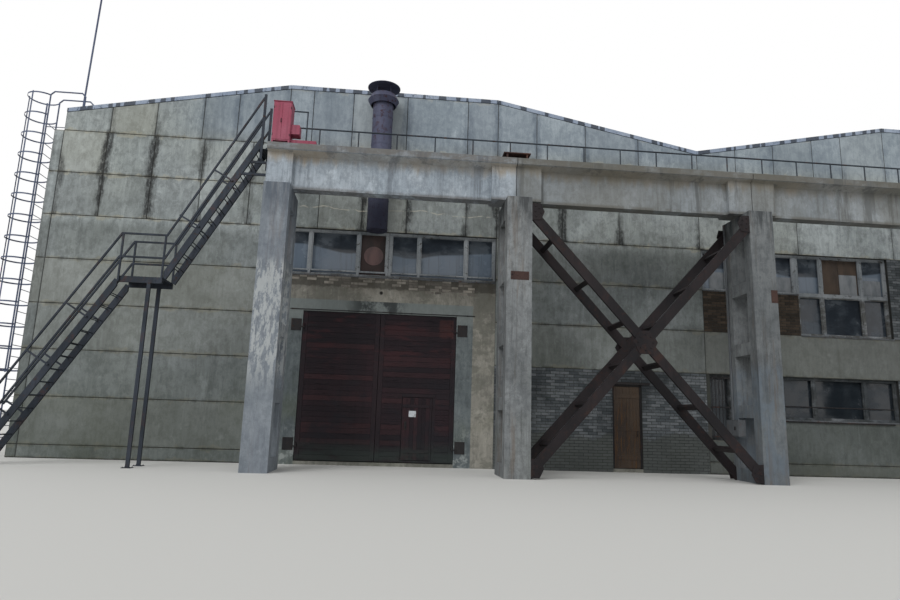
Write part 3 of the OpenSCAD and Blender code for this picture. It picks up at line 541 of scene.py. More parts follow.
class Tree(Nodes):
    """A Geometry Nodes tree with named inputs, run once on a bare piece and kept as a plain mesh."""

    def __init__(self, name, inputs):
        super().__init__(bpy.data.node_groups.new(name, "GeometryNodeTree"))
        new_socket = self.tree.interface.new_socket
        self.sockets = {
            label: new_socket(name=label, in_out="INPUT", socket_type="NodeSocket" + kind).identifier
            for label, kind in inputs.items()
        }
        new_socket(name="Result", in_out="OUTPUT", socket_type="NodeSocketGeometry")
        self.given = self.tree.nodes.new("NodeGroupInput").outputs
        self.result = self.tree.nodes.new("NodeGroupOutput")

    def vector(self, x, y, z):
        return self.add("ShaderNodeCombineXYZ", {0: x, 1: y, 2: z}).outputs[0]

    def chance(self, seed):
        """A number from 0 to 1 for each point."""
        node = self.add("FunctionNodeRandomValue", {2: 0.0, 3: 1.0, "Seed": seed}, data_type="FLOAT")
        return node.outputs[1]

    def finish(self, points, instance, **inputs):
        """Puts the instance on the points with a tone of its own, makes it real and gives it its material."""
        put = self.add("GeometryNodeInstanceOnPoints", {"Points": points, "Instance": instance, **inputs})
        tone = self.add(
            "GeometryNodeStoreNamedAttribute",
            {"Geometry": put.outputs[0], "Name": "tone", "Value": self.chance(77)},
            data_type="FLOAT", domain="INSTANCE",
        )
        real = self.add("GeometryNodeRealizeInstances", {"Geometry": tone.outputs[0]})
        done = self.add(
            "GeometryNodeSetMaterial", {"Geometry": real.outputs[0], "Material": self.given["Material"]}
        )
        self.tree.links.new(done.outputs[0], self.result.inputs[0])

    def mesh(self, values, place=Matrix.Identity(4), points=()):
        """Runs the tree with these inputs on the points and returns its mesh, set at place."""
        bare = bpy.data.meshes.new("bare")
        bare.from_pydata(points, [], [])
        holder = bpy.data.objects.new("holder", bare)
        bpy.context.scene.collection.objects.link(holder)
        modifier = holder.modifiers.new("tree", "NODES")
        modifier.node_group = self.tree
        for label, value in values.items():
            modifier[self.sockets[label]] = value
        bpy.context.view_layer.update()
        mesh = bpy.data.meshes.new_from_object(holder.evaluated_get(bpy.context.evaluated_depsgraph_get()))
        mesh.transform(place)
        bpy.data.objects.remove(holder)
        return mesh


def courses_tree():
    """Blocks in courses over Width by Height, cut at both ends. Bond shifts every other course."""
    t = Tree("courses", {
        "Width": "Float", "Height": "Float", "Block length": "Float", "Block height": "Float",
        "Joint": "Float", "Depth": "Float", "Bond": "Float", "Set back": "Float", "Missing": "Float",
        "Seed": "Int", "Material": "Material",
    })
    g = t.given
    columns = t.plus(t.calc("CEIL", t.calc("DIVIDE", g["Width"], g["Block length"])), 1.0)
    rows = t.calc("MAXIMUM", t.calc("ROUND", t.calc("DIVIDE", g["Height"], g["Block height"])), 1.0)
    block_h = t.calc("DIVIDE", g["Height"], rows)
    line = t.add("GeometryNodeMeshLine", {"Count": t.times(columns, rows)})
    index = t.add("GeometryNodeInputIndex").outputs[0]
    r = t.calc("FLOOR", t.calc("DIVIDE", t.plus(index, 0.5), columns))
    c = t.minus(index, t.times(r, columns))
    shift = t.times(t.calc("MODULO", r, 2.0), g["Block length"], g["Bond"])
    start = t.minus(t.times(c, g["Block length"]), shift)
    left = t.calc("MAXIMUM", start, 0.0)
    right = t.calc("MINIMUM", t.plus(start, g["Block length"]), g["Width"])
    size = t.minus(t.minus(right, left), g["Joint"])
    depth = t.chance(g["Seed"])
    x = t.times(t.plus(left, right), 0.5)
    z = t.times(t.plus(r, 0.5), block_h)
    place = t.vector(x, t.times(depth, depth, g["Set back"]), z)
    points = t.add("GeometryNodeSetPosition", {"Geometry": line.outputs[0], "Position": place})
    cube = t.add("GeometryNodeMeshCube", {"Size": (1, 1, 1)})
    whole = t.calc("GREATER_THAN", size, 0.02)
    there = t.calc("GREATER_THAN", t.chance(5), g["Missing"])
    t.finish(
        points.outputs[0], cube.outputs[0], Selection=t.times(whole, there),
        Scale=t.vector(size, g["Depth"], t.minus(block_h, g["Joint"])),
    )
    return t


courses = courses_tree()


def laid(material, x, z, face=0.0, length=brick_l, height=brick_h, gap=brick_joint, depth=0.02, bond=0.5,
         set_back=0.004, missing=0.0, seed=1, upright=False, place=None):
    """Mesh of courses over x by z with its face at that Y, or set by place. Upright ones run up the wall."""
    wide, tall = x[1] - x[0], z[1] - z[0]
    if upright:
        wide, tall = tall, wide
        place = Matrix.Translation(at(x[1], face + depth / 2, z[0])) @ turn(-math.pi / 2, "Y")
    values = {
        "Width": wide, "Height": tall, "Block length": length, "Block height": height, "Joint": gap,
        "Depth": depth, "Bond": bond, "Set back": set_back, "Missing": missing, "Seed": seed,
        "Material": material,
    }
    return courses.mesh(values, place or Matrix.Translation(at(x[0], face + depth / 2, z[0])))


def made(name, meshes, bevel=0.0, body="building"):
    """Joins meshes into one piece, its edges bevelled, that rides on a body."""
    bm = bmesh.new()
    materials = []
    for mesh in meshes:
        before = len(bm.faces)
        bm.from_mesh(mesh)
        bm.faces.ensure_lookup_table()
        for face in bm.faces[before:]:
            material = mesh.materials[face.material_index]
            if material not in materials:
                materials.append(material)
            face.material_index = materials.index(material)
    if bevel:
        bmesh.ops.bevel(
            bm, geom=bm.edges[:], offset=bevel, segments=1, affect="EDGES", clamp_overlap=True, material=-1
        )
    joined = mesh_of(bm, materials[0])
    for material in materials[1:]:
        joined.materials.append(material)
    piece_of(name, joined, body)


def brick(name, pale, mid, dark, stain, low_render=0.0):
    """Bricks of differing tone with sooty patches; low down they may be covered by a grey render."""
    f = Finish(name, 0.9, gloss=0.3)
    f.base(f.step(f.read("tone"), 0.0, 1.0), mid, pale)
    f.lay(dark, f.patches(0.48, 0.72, 14, detail=6, rough=0.7), 0.55)
    f.lay(dark, f.patches(0.42, 0.64, 0.9, (1, 1, 0.6), 5, 0.6, 0.2, 17.0), stain)
    edge = f.plus(f.z, f.times(f.noise(1.6, detail=6, shift=4.0), 0.9))
    f.lay((84, 88, 86), f.off(edge, 1.35, 1.50), low_render)
    f.relief((f.noise(60, detail=6, rough=0.7), 0.003))
    return f.done()


silicate_brick = brick("silicate_brick", (122, 127, 131), (82, 88, 92), (38, 42, 45), 0.65, 0.85)
clay_brick = brick("clay_brick", (86, 74, 63), (58, 51, 44), (32, 31, 29), 0.4)
bare_brick = brick("bare_brick", (172, 166, 156), (126, 121, 114), (58, 56, 54), 0.5)
brick_mortar = concrete("brick_mortar", (66, 67, 66), (50, 52, 52), (28, 29, 30), 0.4, 0.4)
finish_nodes(brick_mortar, "door_brick_left", "door_brick_right", "door_brick_over", "front_brickwork")

door_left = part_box("door_brick_left")[1].x - corner.x
door_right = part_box("door_brick_right")[0].x - corner.x
brick_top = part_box("door_brick_left")[1].z
door_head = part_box("door_brick_over")[0].z
made("infill_bricks", [
    laid(silicate_brick, (2 * bay, door_left), (0.0, brick_top), brick_face, seed=2),
    laid(silicate_brick, (door_right, 3 * bay), (0.0, brick_top), brick_face, seed=3),
    laid(silicate_brick, (door_left, door_right), (door_head + 0.06, brick_top), brick_face, seed=4),
], brick_edge)

unit_left = 3.5 * bay - 0.1
low_unit_left = span + 2.25
pier_bricks = [laid(clay_brick, (span, unit_left), (joint(3), joint(4)), brick_face, seed=5)]
for n in (4, 5, 6):
    for low, high in ((joint(1), joint(2)), (joint(3), joint(5))):
        kind = clay_brick if n == 5 and low < joint(2) else silicate_brick
        sides = (n * bay - pier_half, min(n * bay + pier_half, hall_w))
        pier_bricks.append(laid(kind, sides, (low, high), brick_face, seed=5 + n))
pier_bricks.append(
    laid(silicate_brick, (span + 1.3, low_unit_left), (joint(1), joint(2)), brick_face, seed=12)
)
made("pier_bricks", pier_bricks, brick_edge)

bare_step = 0.46
made("bare_bricks_over_gate", [
    laid(
        bare_brick, (left, left + bare_step), (sill - brick_h * n, sill), -0.008, set_back=0.012, missing=0.2,
        seed=20 + n, bond=0.5 * (n % 2),
    )
    for left, n in ((bay + 0.36 + bare_step * i, n) for i, n in enumerate((2, 2, 3, 4, 3, 2, 3, 4, 5, 4, 5)))
], 0.004)

# Windows
# Timber casements with peeling paint in ribbons, old dusty glass, and sheet-metal sills.
# Some panes have boards and paper put up behind them, and the low windows have steel bars.
window_y = 0.08
post = 0.035
rail = 0.036
light_share = 0.28
bead = 0.032
bottom_bead = 1.4 * bead
bead_face = (window_y + 0.014, window_y + 0.06)
sill_nose = -0.035
sill_drop = 0.03
sill_t = 0.008


def old_paint(name, coat, faded, under, chips=0.45, roughness=0.6, metallic=0.0, grain=(1, 1, 1), rust=0.0,
              marks=None):
    """Old paint over timber or steel: faded tone, scuffs through to what is under it, rust, run-down dirt."""
    f = Finish(name, roughness, metallic, 0.25)
    f.base(f.patches(0.36, 0.66, 1.1, (1, 1, 0.5), 6, 0.62), coat, faded)
    rubbed = f.patches(0.62 - 0.14 * chips, 0.68 - 0.12 * chips, 9.0, grain, 8, 0.72, 0.3, 4.0)
    scuff = f.times(rubbed, f.patches(0.34, 0.60, 0.8, shift=6.0))
    f.lay(under, scuff)
    if rust:
        f.lay((104, 62, 40), f.patches(0.54, 0.68, 3.4, (1, 1, 0.7), 9, 0.74, 0.5, 8.0), rust)
    f.lay(coat, f.patches(0.50, 0.74, 1.2, (9, 9, 0.3), 6, shift=2.0), 0.45, light=0.4)
    f.grit(f.patches(0.3, 0.7, 46, detail=4), (110, 110, 108), (255, 255, 252))
    if marks:
        marks(f)
    f.relief((f.noise(24, grain, 7, 0.7), 0.0016), (scuff, 0.0008))
    return f.done(f.step(scuff, 0.0, 1.0, roughness, min(1.0, roughness + 0.2)))


def frame_marks(f):
    """Dirt gathered on every bottom rail over the gate, and painted shade with some grime on the frames of
    the lower windows.
    """
    dirty = f.patches(0.36, 0.56, 2.0, (1, 1, 2), 7, 0.7, 0.2, 18.0)
    f.lay((72, 70, 64), f.step(f.z, sill + 0.10, sill + 0.04), dirty, 0.8)
    # Painted shade with some grime: the frames of the lower windows are darkened.
    shade_and_grime = f.patches(0.30, 0.62, 2.4, (1, 1, 0.6), 6, 0.66, shift=12.0, least=0.50, most=0.85)
    f.lay((44, 50, 54), f.step(f.z, joint(2) + 0.2, joint(2)), shade_and_grime)


def pane_glass():
    """Thick grimed pane: near black inside, with a pale bluish film that gathers in the lower half; the panes
    of the lower windows are darkened with painted shade.
    """
    f = Finish("old_glass")
    dust = f.patches(0.40, 0.70, 1.0, (1, 1, 1.4), 6, 0.62, 0.2)
    f.base(f.times(dust, 0.75), (50, 56, 64), (98, 108, 118))
    wave = f.plus(f.z, f.times(f.noise(0.35, (1, 1, 0.1), 2, 0.4, shift=14.0), 1.1))
    film = f.times(f.off(wave, joint(4) + 1.16, joint(4) + 1.22), f.step(f.z, joint(4), joint(4) + 0.02))
    f.lay((120, 134, 150), film, 0.80)
    # Painted shade: the panes of the lower windows are darkened.
    f.lay((24, 30, 34), f.step(f.z, joint(2) + 0.1, joint(2)), 0.7)
    f.lay((44, 46, 48), f.patches(0.50, 0.74, 1.6, (8, 8, 0.4), shift=5.0), 0.35)
    f.relief((f.noise(1.4, detail=2), 0.003))
    return f.done(f.step(dust, 0.0, 1.0, 0.08, 0.5))


def sheet_stuff(name, colour, patch):
    """Board or paper with a mottled tone."""
    f = Finish(name, 0.8)
    f.base(f.patches(0.36, 0.66, 3.0, (1, 1, 0.4), 6), colour, patch)
    f.relief((f.noise(30, (1, 1, 0.3), 4), 0.001))
    return f.done()


window_timber = old_paint(
    "window_timber", (136, 143, 149), (176, 181, 186), (84, 82, 78), 0.5, 0.75, marks=frame_marks
)
sill_zinc = old_paint("sill_zinc", (86, 90, 94), (112, 116, 120), (70, 60, 52), 0.5, 0.6, 0.3, rust=0.5)
black_steel = old_paint("black_steel", (38, 37, 40), (50, 48, 49), (66, 46, 36), 0.3, 0.6, 0.2, rust=0.4)
board_brown = sheet_stuff("board_brown", (66, 52, 50), (48, 42, 42))
disc_pink = sheet_stuff("disc_pink", (116, 92, 90), (92, 76, 76))
paper_white = sheet_stuff("paper_white", (146, 150, 154), (112, 118, 124))
ply_ochre = sheet_stuff("ply_ochre", (86, 72, 61), (64, 55, 49))
finish_nodes(window_timber, "upper_window_frames", "lower_window_frames")
finish_nodes(pane_glass(), "upper_glass", "lower_glass")


def boxes(material, *sizes):
    """Mesh of boxes, each given by its range along x, y and z from the hall corner."""
    bm = bmesh.new()
    for x, y, z in sizes:
        centre = at((x[0] + x[1]) / 2, (y[0] + y[1]) / 2, (z[0] + z[1]) / 2)
        size = Matrix.Diagonal((x[1] - x[0], y[1] - y[0], z[1] - z[0], 1))
        bmesh.ops.create_cube(bm, size=1, matrix=Matrix.Translation(centre) @ size)
    return mesh_of(bm, material)


def around(middle, half):
    return middle - half, middle + half


front_units = [
    (bay, 1.5 * bay, sill, joint(5)), (1.5 * bay, 2 * bay, sill, joint(5)),
    (span, unit_left, joint(4), joint(5)), (unit_left, 4 * bay - pier_half, joint(3), joint(5)),
    (low_unit_left, 4 * bay - pier_half, joint(1), joint(2)),
]
for n in (4, 5):
    for low, high in ((joint(1), joint(2)), (joint(3), joint(5))):
        front_units.append((n * bay + pier_half, (n + 0.5) * bay, low, high))
        front_units.append(((n + 0.5) * bay, (n + 1) * bay - pier_half, low, high))
sills = []
beads = []
for left, right, low, high in front_units:
    sill_x = (left + 0.005, right - 0.005)
    sills += [
        (sill_x, (sill_nose, window_y), (low, low + sill_t)),
        (sill_x, around(sill_nose, 0.002), (low - sill_drop, low + sill_t)),
    ]
    inset = light_share * (right - left)
    posts = [left + post, left + inset, right - inset, right - post]
    levels = [low, joint(4), high] if low < joint(4) < high else [low, high]
    for a, b in zip(posts, posts[1:]):
        for bottom, top in zip(levels, levels[1:]):
            x, z = (a + post, b - post), (bottom + rail, top - rail)
            between = (z[0] + bottom_bead, z[1] - bead)
            beads += [
                (x, bead_face, (z[0], z[0] + bottom_bead)), (x, bead_face, (z[1] - bead, z[1])),
                ((x[0], x[0] + bead), bead_face, between), ((x[1] - bead, x[1]), bead_face, between),
            ]
made("window_sills", [boxes(sill_zinc, *sills)], 0.002)
made("casements", [boxes(window_timber, *beads)], 0.004)


def disc(material, x, z, radius, y):
    """Thin round plate that faces the front."""
    bm = bmesh.new()
    bmesh.ops.create_cone(
        bm, cap_ends=True, segments=40, radius1=radius, radius2=radius - 0.003, depth=0.006,
        matrix=Matrix.Translation(at(x, y, z)) @ turn(math.pi / 2, "X"),
    )
    return mesh_of(bm, material)


behind = (0.166, 0.174)
made("gate_window_board", [
    boxes(board_brown, ((8.20, 8.96), behind, (sill + 0.06, joint(5) - 0.06))),
    disc(disc_pink, 8.58, sill + 0.64, 0.27, behind[0] - 0.004),
], 0.001)
top_low, top_high = joint(4) + 0.04, joint(5) - 0.05
papers = (
    (23.0, 23.62, 0.52), (18.3, 19.5, 0.55), (19.8, 20.84, 0.5), (30.4, 31.4, 0.7), (25.2, 26.1, 0.5),
)
pinned = ((22.32, 22.86), (behind[0] - 0.008, behind[0] - 0.005), (top_low + 0.02, top_low + 0.66))
made("window_stuff", [
    boxes(ply_ochre, *[(x, behind, (top_low, top_high)) for x in ((21.74, 22.30), (22.31, 22.90))]),
    boxes(paper_white, pinned, *[((a, b), behind, (top_low, top_low + h)) for a, b, h in papers]),
])


def tube(material, path, radius, sides=8):
    """Round bar or pipe along a path from the hall corner, closed at both ends."""
    bm = bmesh.new()
    points = [at(*p) for p in path]
    rings = []
    side = None
    for i, p in enumerate(points):
        ahead = (points[min(i + 1, len(points) - 1)] - points[max(i - 1, 0)]).normalized()
        side = side or ahead.orthogonal().normalized()
        side = (side - ahead * side.dot(ahead)).normalized()
        other = ahead.cross(side)
        rings.append([
            bm.verts.new(p + radius * (math.cos(t) * side + math.sin(t) * other))
            for t in (2 * math.pi * k / sides for k in range(sides))
        ])
    for a, b in zip(rings, rings[1:]):
        for k in range(sides):
            face = bm.faces.new((a[k], a[(k + 1) % sides], b[(k + 1) % sides], b[k]))
            face.smooth = sides > 6
    bm.faces.new(rings[0][::-1])
    bm.faces.new(rings[-1])
    return mesh_of(bm, material)


barred_x = (span + 0.1, span + 1.3)
bar_count = 12
bar_r = 0.008
guard_pipe_r = 0.016
flat_bars = [
    ((barred_x[0] + 0.01, barred_x[1] - 0.01), around(0.014, 0.002), around(z, 0.02))
    for z in (barred_sill + 0.1, barred_sill + 0.9, joint(2) - 0.1)
]
bars = []
for i in range(bar_count):
    x = barred_x[0] + 0.06 + i * (barred_x[1] - barred_x[0] - 0.12) / (bar_count - 1)
    bars.append(tube(black_steel, [(x, 0.02, barred_sill + 0.02), (x, 0.02, joint(2) - 0.02)], bar_r, 6))
for z in (joint(1) + 0.37, joint(1) - 0.05):
    bars.append(tube(black_steel, [(span + 2.0 + i * 0.5, -0.05, z) for i in range(8)], guard_pipe_r))
    flat_bars += [(around(span + x, 0.015), (-0.05, 0.0), around(z, 0.015)) for x in (2.3, 3.7, 5.2)]
made("window_bars", [*bars, boxes(black_steel, *flat_bars)])

# Gate and wicket
# Framed timber leaves sheathed with 140 mm boards, painted maroon long ago, on steel straps and pins.
# The wicket of upright planks is hung in the right leaf, with a bare plate and a bent bar as its handle.
leaf_y = 0.030
cover = 0.008
board_y = leaf_y - cover
board_h = 0.14
stile = 0.12
head_rail = 0.09
leaf_gap = 0.006
wicket_gap = 0.012
gate_edge = 0.0015


def gate_marks(f):
    """Redder paint left under the head, green grime at the foot, soot where hands and tyres rub."""
    x = f.along()
    red = f.patches(0.50, 0.62, 1.4, (0.7, 1, 2.4), 7, 0.66, 0.2, 71.0)
    f.lay((64, 35, 38), f.step(f.z, 2.2, 3.1), red, 0.6)
    across = f.times(f.step(x, 10.46, 10.5), f.off(x, 10.84, 10.88))
    torn = f.patches(0.40, 0.50, 4.0, detail=7, rough=0.7, shift=72.0)
    f.lay((78, 46, 44), across, f.step(f.z, 3.4, 3.45), f.off(f.z, 3.9, 3.95), torn, 0.6)
    soot = f.patches(0.48, 0.60, 0.8, (1, 1, 1.2), 6, 0.64, 0.2, 73.0)
    f.lay((26, 26, 32), soot, f.step(f.z, 3.0, 1.2, 0.3, 1.0), 0.7)
    green = f.patches(0.36, 0.56, 1.6, (0.5, 1, 1.6), 6, 0.6, 0.2, 74.0)
    f.lay((46, 54, 52), f.step(f.z, 0.75, 0.2), green, 0.8)


def board_marks(f):
    """Boards of differing tone under the gate's marks."""
    tone = f.read("tone")
    f.lay((18, 16, 22), f.step(tone, 0.45, 0.0), 0.5)
    f.lay((70, 42, 44), f.step(tone, 0.6, 1.0), 0.35)
    gate_marks(f)


# These maroon coats, and the gate frame's below, are set darker than the paint itself, as painted shade over
# the whole gate.
gate_boards, wicket_planks = (
    old_paint(name, (34, 24, 30), (44, 29, 35), (22, 20, 24), 0.5, 0.72, grain=grain, marks=board_marks)
    for name, grain in (("gate_boards", (0.3, 1, 5)), ("wicket_planks", (5, 1, 0.3)))
)
gate_frame = old_paint(
    "gate_frame", (30, 25, 31), (42, 31, 36), (24, 22, 25), 0.4, 0.7, grain=(2, 1, 2), marks=gate_marks
)
enamel_white = old_paint("enamel_white", (214, 220, 226), (200, 206, 212), (120, 110, 100), 0.2, 0.35)
finish_nodes(gate_frame, "gate_leaf_left", "gate_leaf_right", "wicket_door")
finish_nodes(black_steel, "gate_hinge_brackets", "side_door_frame")


def box_of(node):
    """Lowest and highest corner of a CAD piece from the hall corner."""
    low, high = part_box(node)
    return low - Vector((corner.x, corner.y, 0)), high - Vector((corner.x, corner.y, 0))


left_low, left_high = box_of("gate_leaf_left")
meeting_left, meeting_right = left_high.x, box_of("gate_leaf_right")[0].x
leaf_foot, leaf_head = left_low.z, left_high.z
full = (leaf_foot + leaf_gap, leaf_head - leaf_gap)
gate_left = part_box("gate_lintel")[0].x - corner.x + 0.01
gate_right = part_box("gate_lintel")[1].x - corner.x - 0.01
wicket_low, wicket_high = box_of("wicket_door")
wicket_left, wicket_right = wicket_low.x, gate_right - 0.59
hinge_levels = (0.52, 3.64)
arm_notch = 0.06
arm_room = (-0.083, -0.029)
stile_cuts = [full[0], *[z + d for z in hinge_levels for d in arm_room], full[1]]


def planked(material, x, z, y, board, gap, thick, seed, upright=False):
    """Boards side by side, each as long as the rectangle they fill."""
    length = (z[1] - z[0] if upright else x[1] - x[0]) + 0.5
    return laid(material, x, z, y, length, board, gap, thick, 0.0, 0.003, seed=seed, upright=upright)


def leaf_boards(x, z, seed):
    return planked(gate_boards, x, z, board_y, board_h, 0.010, cover + 0.002, seed)


def stiles(*columns):
    return boxes(gate_frame, *[(x, (board_y - 0.006, leaf_y + 0.001), z) for x, z in columns])


def hinge_stile(edge, way):
    """Stile at the pins, its edge notched round the arms of the jamb plates so that the leaf swings clear."""
    split, inner = edge + way * arm_notch, edge + way * stile
    strips = [(sorted((split, inner)), full)]
    return strips + [(sorted((edge, split)), heights) for heights in zip(stile_cuts[::2], stile_cuts[1::2])]


made("left_leaf_boards", [
    leaf_boards((gate_left + stile, meeting_left - stile), full, 31),
    stiles(*hinge_stile(gate_left, 1), ((meeting_left - stile, meeting_left), full)),
], gate_edge, "left_leaf")
above = wicket_high.z + wicket_gap
beside = (full[0], above + head_rail)
made("right_leaf_boards", [
    leaf_boards((meeting_right + stile, wicket_left - wicket_gap), beside, 32),
    leaf_boards((wicket_right + wicket_gap + 0.07, gate_right - stile), beside, 33),
    leaf_boards((meeting_right + stile, gate_right - stile), (above + head_rail, full[1]), 34),
    stiles(
        ((meeting_right, meeting_right + stile), full), *hinge_stile(gate_right, -1),
        ((wicket_left - 0.010, wicket_right + 0.07), (above, above + 0.085)),
    ),
], gate_edge, "right_leaf")

wicket_z = (wicket_low.z + 0.004, wicket_high.z - 0.004)
wicket_x = (wicket_left + 0.004, wicket_right - 0.055)
ledges = ((wicket_z[0] + 0.18, wicket_z[0] + 0.26), (wicket_z[1] - 0.26, wicket_z[1] - 0.18))
made("wicket_planks", [
    planked(wicket_planks, wicket_x, wicket_z, board_y, 0.098, 0.005, cover + 0.002, 35, True),
    boxes(gate_frame, *[(wicket_x, (board_y - 0.012, board_y + 0.002), z) for z in ledges]),
], gate_edge, "wicket")
plate_y = board_y - 0.004
made("bare_plate", [
    boxes(enamel_white, ((9.73, 9.92), (plate_y, board_y + 0.001), (1.29, 1.45))),
    *[disc(black_steel, x, z, 0.006, plate_y - 0.001) for z in (1.305, 1.435) for x in (9.745, 9.905)],
], 0.001, "wicket")
handle_x = wicket_left + 0.10
handle = [(0.0, 0.98), (0.035, 0.985), (0.045, 1.0), (0.045, 1.12), (0.035, 1.135), (0.0, 1.14)]
made("wicket_handle", [
    tube(black_steel, [(handle_x, board_y - out, z) for out, z in handle], 0.008),
    boxes(black_steel, (around(handle_x, 0.03), (board_y - 0.004, board_y + 0.001), (0.95, 1.17))),
], body="wicket")
rod_z = leaf_head + 0.045
rod_clips = (gate_left - 0.3, gate_left + 1.2, gate_left + 2.9, gate_right + 0.3)
made("lintel_rod", [
    tube(black_steel, [(gate_left - 0.36 + 0.5 * i, -0.012, rod_z) for i in range(11)], 0.011),
    boxes(black_steel, *[(around(x, 0.02), (-0.014, 0.0), around(rod_z, 0.015)) for x in rod_clips]),
])


def heads_tree():
    """Hexagonal bolt heads on the given points."""
    t = Tree("bolt_heads", {
        "Points": "Geometry", "Width": "Float", "Height": "Float", "Turn": "Vector", "Material": "Material",
    })
    head = t.add("GeometryNodeMeshCylinder", {
        "Vertices": 6, "Radius": t.times(t.given["Width"], 0.5), "Depth": t.given["Height"],
    })
    t.finish(t.given["Points"], head.outputs[0], Rotation=t.given["Turn"])
    return t


heads = heads_tree()
facing = {"y": (math.pi / 2, 0, 0), "x": (0, math.pi / 2, 0), "z": (0, 0, 0)}


def bolts(material, points, way="y", width=0.03, height=0.018):
    """Bolt heads centred on points from the hall corner, standing out along one axis."""
    values = {"Width": width, "Height": height, "Turn": facing[way], "Material": material}
    return heads.mesh(values, points=[at(*p) for p in points])


pin_inset = 0.022
pins = (gate_left + pin_inset, gate_right - pin_inset)
plate_reach = (0.10, 0.29)
strap_reach = (0.12, 0.23, 0.34)
made("hinge_bolts", [bolts(black_steel, [
    (pin + way * r, -0.016, z + dz)
    for pin, way in zip(pins, (-1, 1)) for r in plate_reach for z in hinge_levels for dz in (-0.12, 0.12)
])])
for side, pin, way in (("left", pins[0], 1), ("right", pins[1], -1)):
    made(side + "_strap_bolts", [bolts(black_steel, [
        (pin + way * r, 0.014, z) for r in strap_reach for z in hinge_levels
    ], height=0.012)], body=side + "_leaf")

# Side door
# A ledged plank door in a steel frame under a steel angle that carries the bricks.
door_y = 0.040
door_low, door_high = box_of("side_door")
planks_x = (door_left + 0.112, door_right - 0.058)
planks_z = (door_low.z + 0.004, door_high.z - 0.004)
ledge_y = (door_y - 0.022, door_y - 0.006)
handle_x = planks_x[1] - 0.08
door_planks = old_paint(
    "door_planks", (60, 52, 48), (82, 70, 60), (96, 70, 46), 0.7, 0.75, grain=(5, 1, 0.3)
)
finish_nodes(door_planks, "side_door")
made("door_planks", [
    planked(door_planks, planks_x, planks_z, door_y - 0.008, 0.10, 0.005, 0.010, 41, True),
    boxes(door_planks, *[(planks_x, ledge_y, (z, z + 0.11)) for z in (0.33, 1.1, 1.98)]),
    tube(black_steel, [
        (handle_x, door_y - out, z) for out, z in ((0.008, 0.95), (0.05, 0.97), (0.05, 1.09), (0.008, 1.11))
    ], 0.008),
], gate_edge, "plank_door")
angle_x = (door_left - 0.12, door_right + 0.23)
made("door_lintel", [boxes(
    black_steel, (angle_x, (-0.03, 0.0), (door_head, door_head + 0.008)),
    (angle_x, (-0.032, -0.026), (door_head, door_head + 0.06)),
)], 0.001)

# Roof
# Hot-laid felt in metre-wide strips lapped on the deck, turned down over a zinc edge weathered in patches.
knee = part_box("upper_front_wall")[1].z
roof_foot = knee - knee_rise
deck_y = (0.33, hall_d - 0.33)


def felt():
    """Grey felt with a tone for each strip, tar patches and a little moss."""
    f = Finish("roof_felt", 0.95)
    f.base(f.patches(0.36, 0.62, 0.3), (66, 66, 66), (94, 92, 88))
    f.lay((72, 72, 74), f.step(f.read("tone"), 0.0, 1.0), 0.5)
    f.lay((46, 46, 46), f.patches(0.55, 0.70, 2.2, detail=8, rough=0.7, shift=3.0), 0.6)
    f.lay((76, 86, 62), f.patches(0.56, 0.70, 0.7, detail=6, shift=8.0), 0.5)
    f.relief((f.noise(120, detail=3), 0.002), (f.noise(1.2), 0.02))
    return f.done()


def zinc_marks(f):
    """Square patches where the bluish coat is gone from the folded edge."""
    f.lay((52, 58, 68), f.patches(0.54, 0.56, 1.0, (5, 0.5, 0.5), 0, 0.0, shift=81.0), 0.85)


roof_felt = felt()
zinc = old_paint("zinc_edge", (146, 160, 182), (168, 180, 198), (88, 98, 114), 0.5, 0.6, marks=zinc_marks)
finish_nodes(roof_felt, "left_roof", "right_roof")
finish_nodes(floor_concrete, "valley_frame")
finish_nodes(zinc, "roof_edge_trim")
strips = []
for start in (0.0, span):
    edges = [(start, roof_foot), (start + bay, knee), (start + 2 * bay, knee), (start + span, roof_foot)]
    for seed, (a, b) in enumerate(zip(edges, edges[1:])):
        along = Vector((b[0] - a[0], 0, b[1] - a[1]))
        length = along.length
        along.normalize()
        up = Vector((-along.z, 0, along.x))
        lay_flat = Matrix(((0, up.x, along.x), (1, 0, 0), (0, up.z, along.z))).to_4x4()
        strips.append(laid(
            roof_felt, deck_y, (0, length), length=8.7, height=0.95, gap=0.004, depth=0.008, bond=0.4,
            seed=50 + seed, place=Matrix.Translation(at(a[0], deck_y[0], a[1]) + up * 0.001) @ lay_flat,
        ))
made("felt_strips", strips, 0.002)
made("valley_flashing", [
    boxes(roof_felt, (around(span, 0.25), deck_y, (roof_foot - 0.01, roof_foot + 0.062))),
], 0.03)

# Crane trestle
# Cast piers with two branches carry precast beams, with plates and felt at their joints.
# The crane rail is clipped and bolted down along the top of the beams.


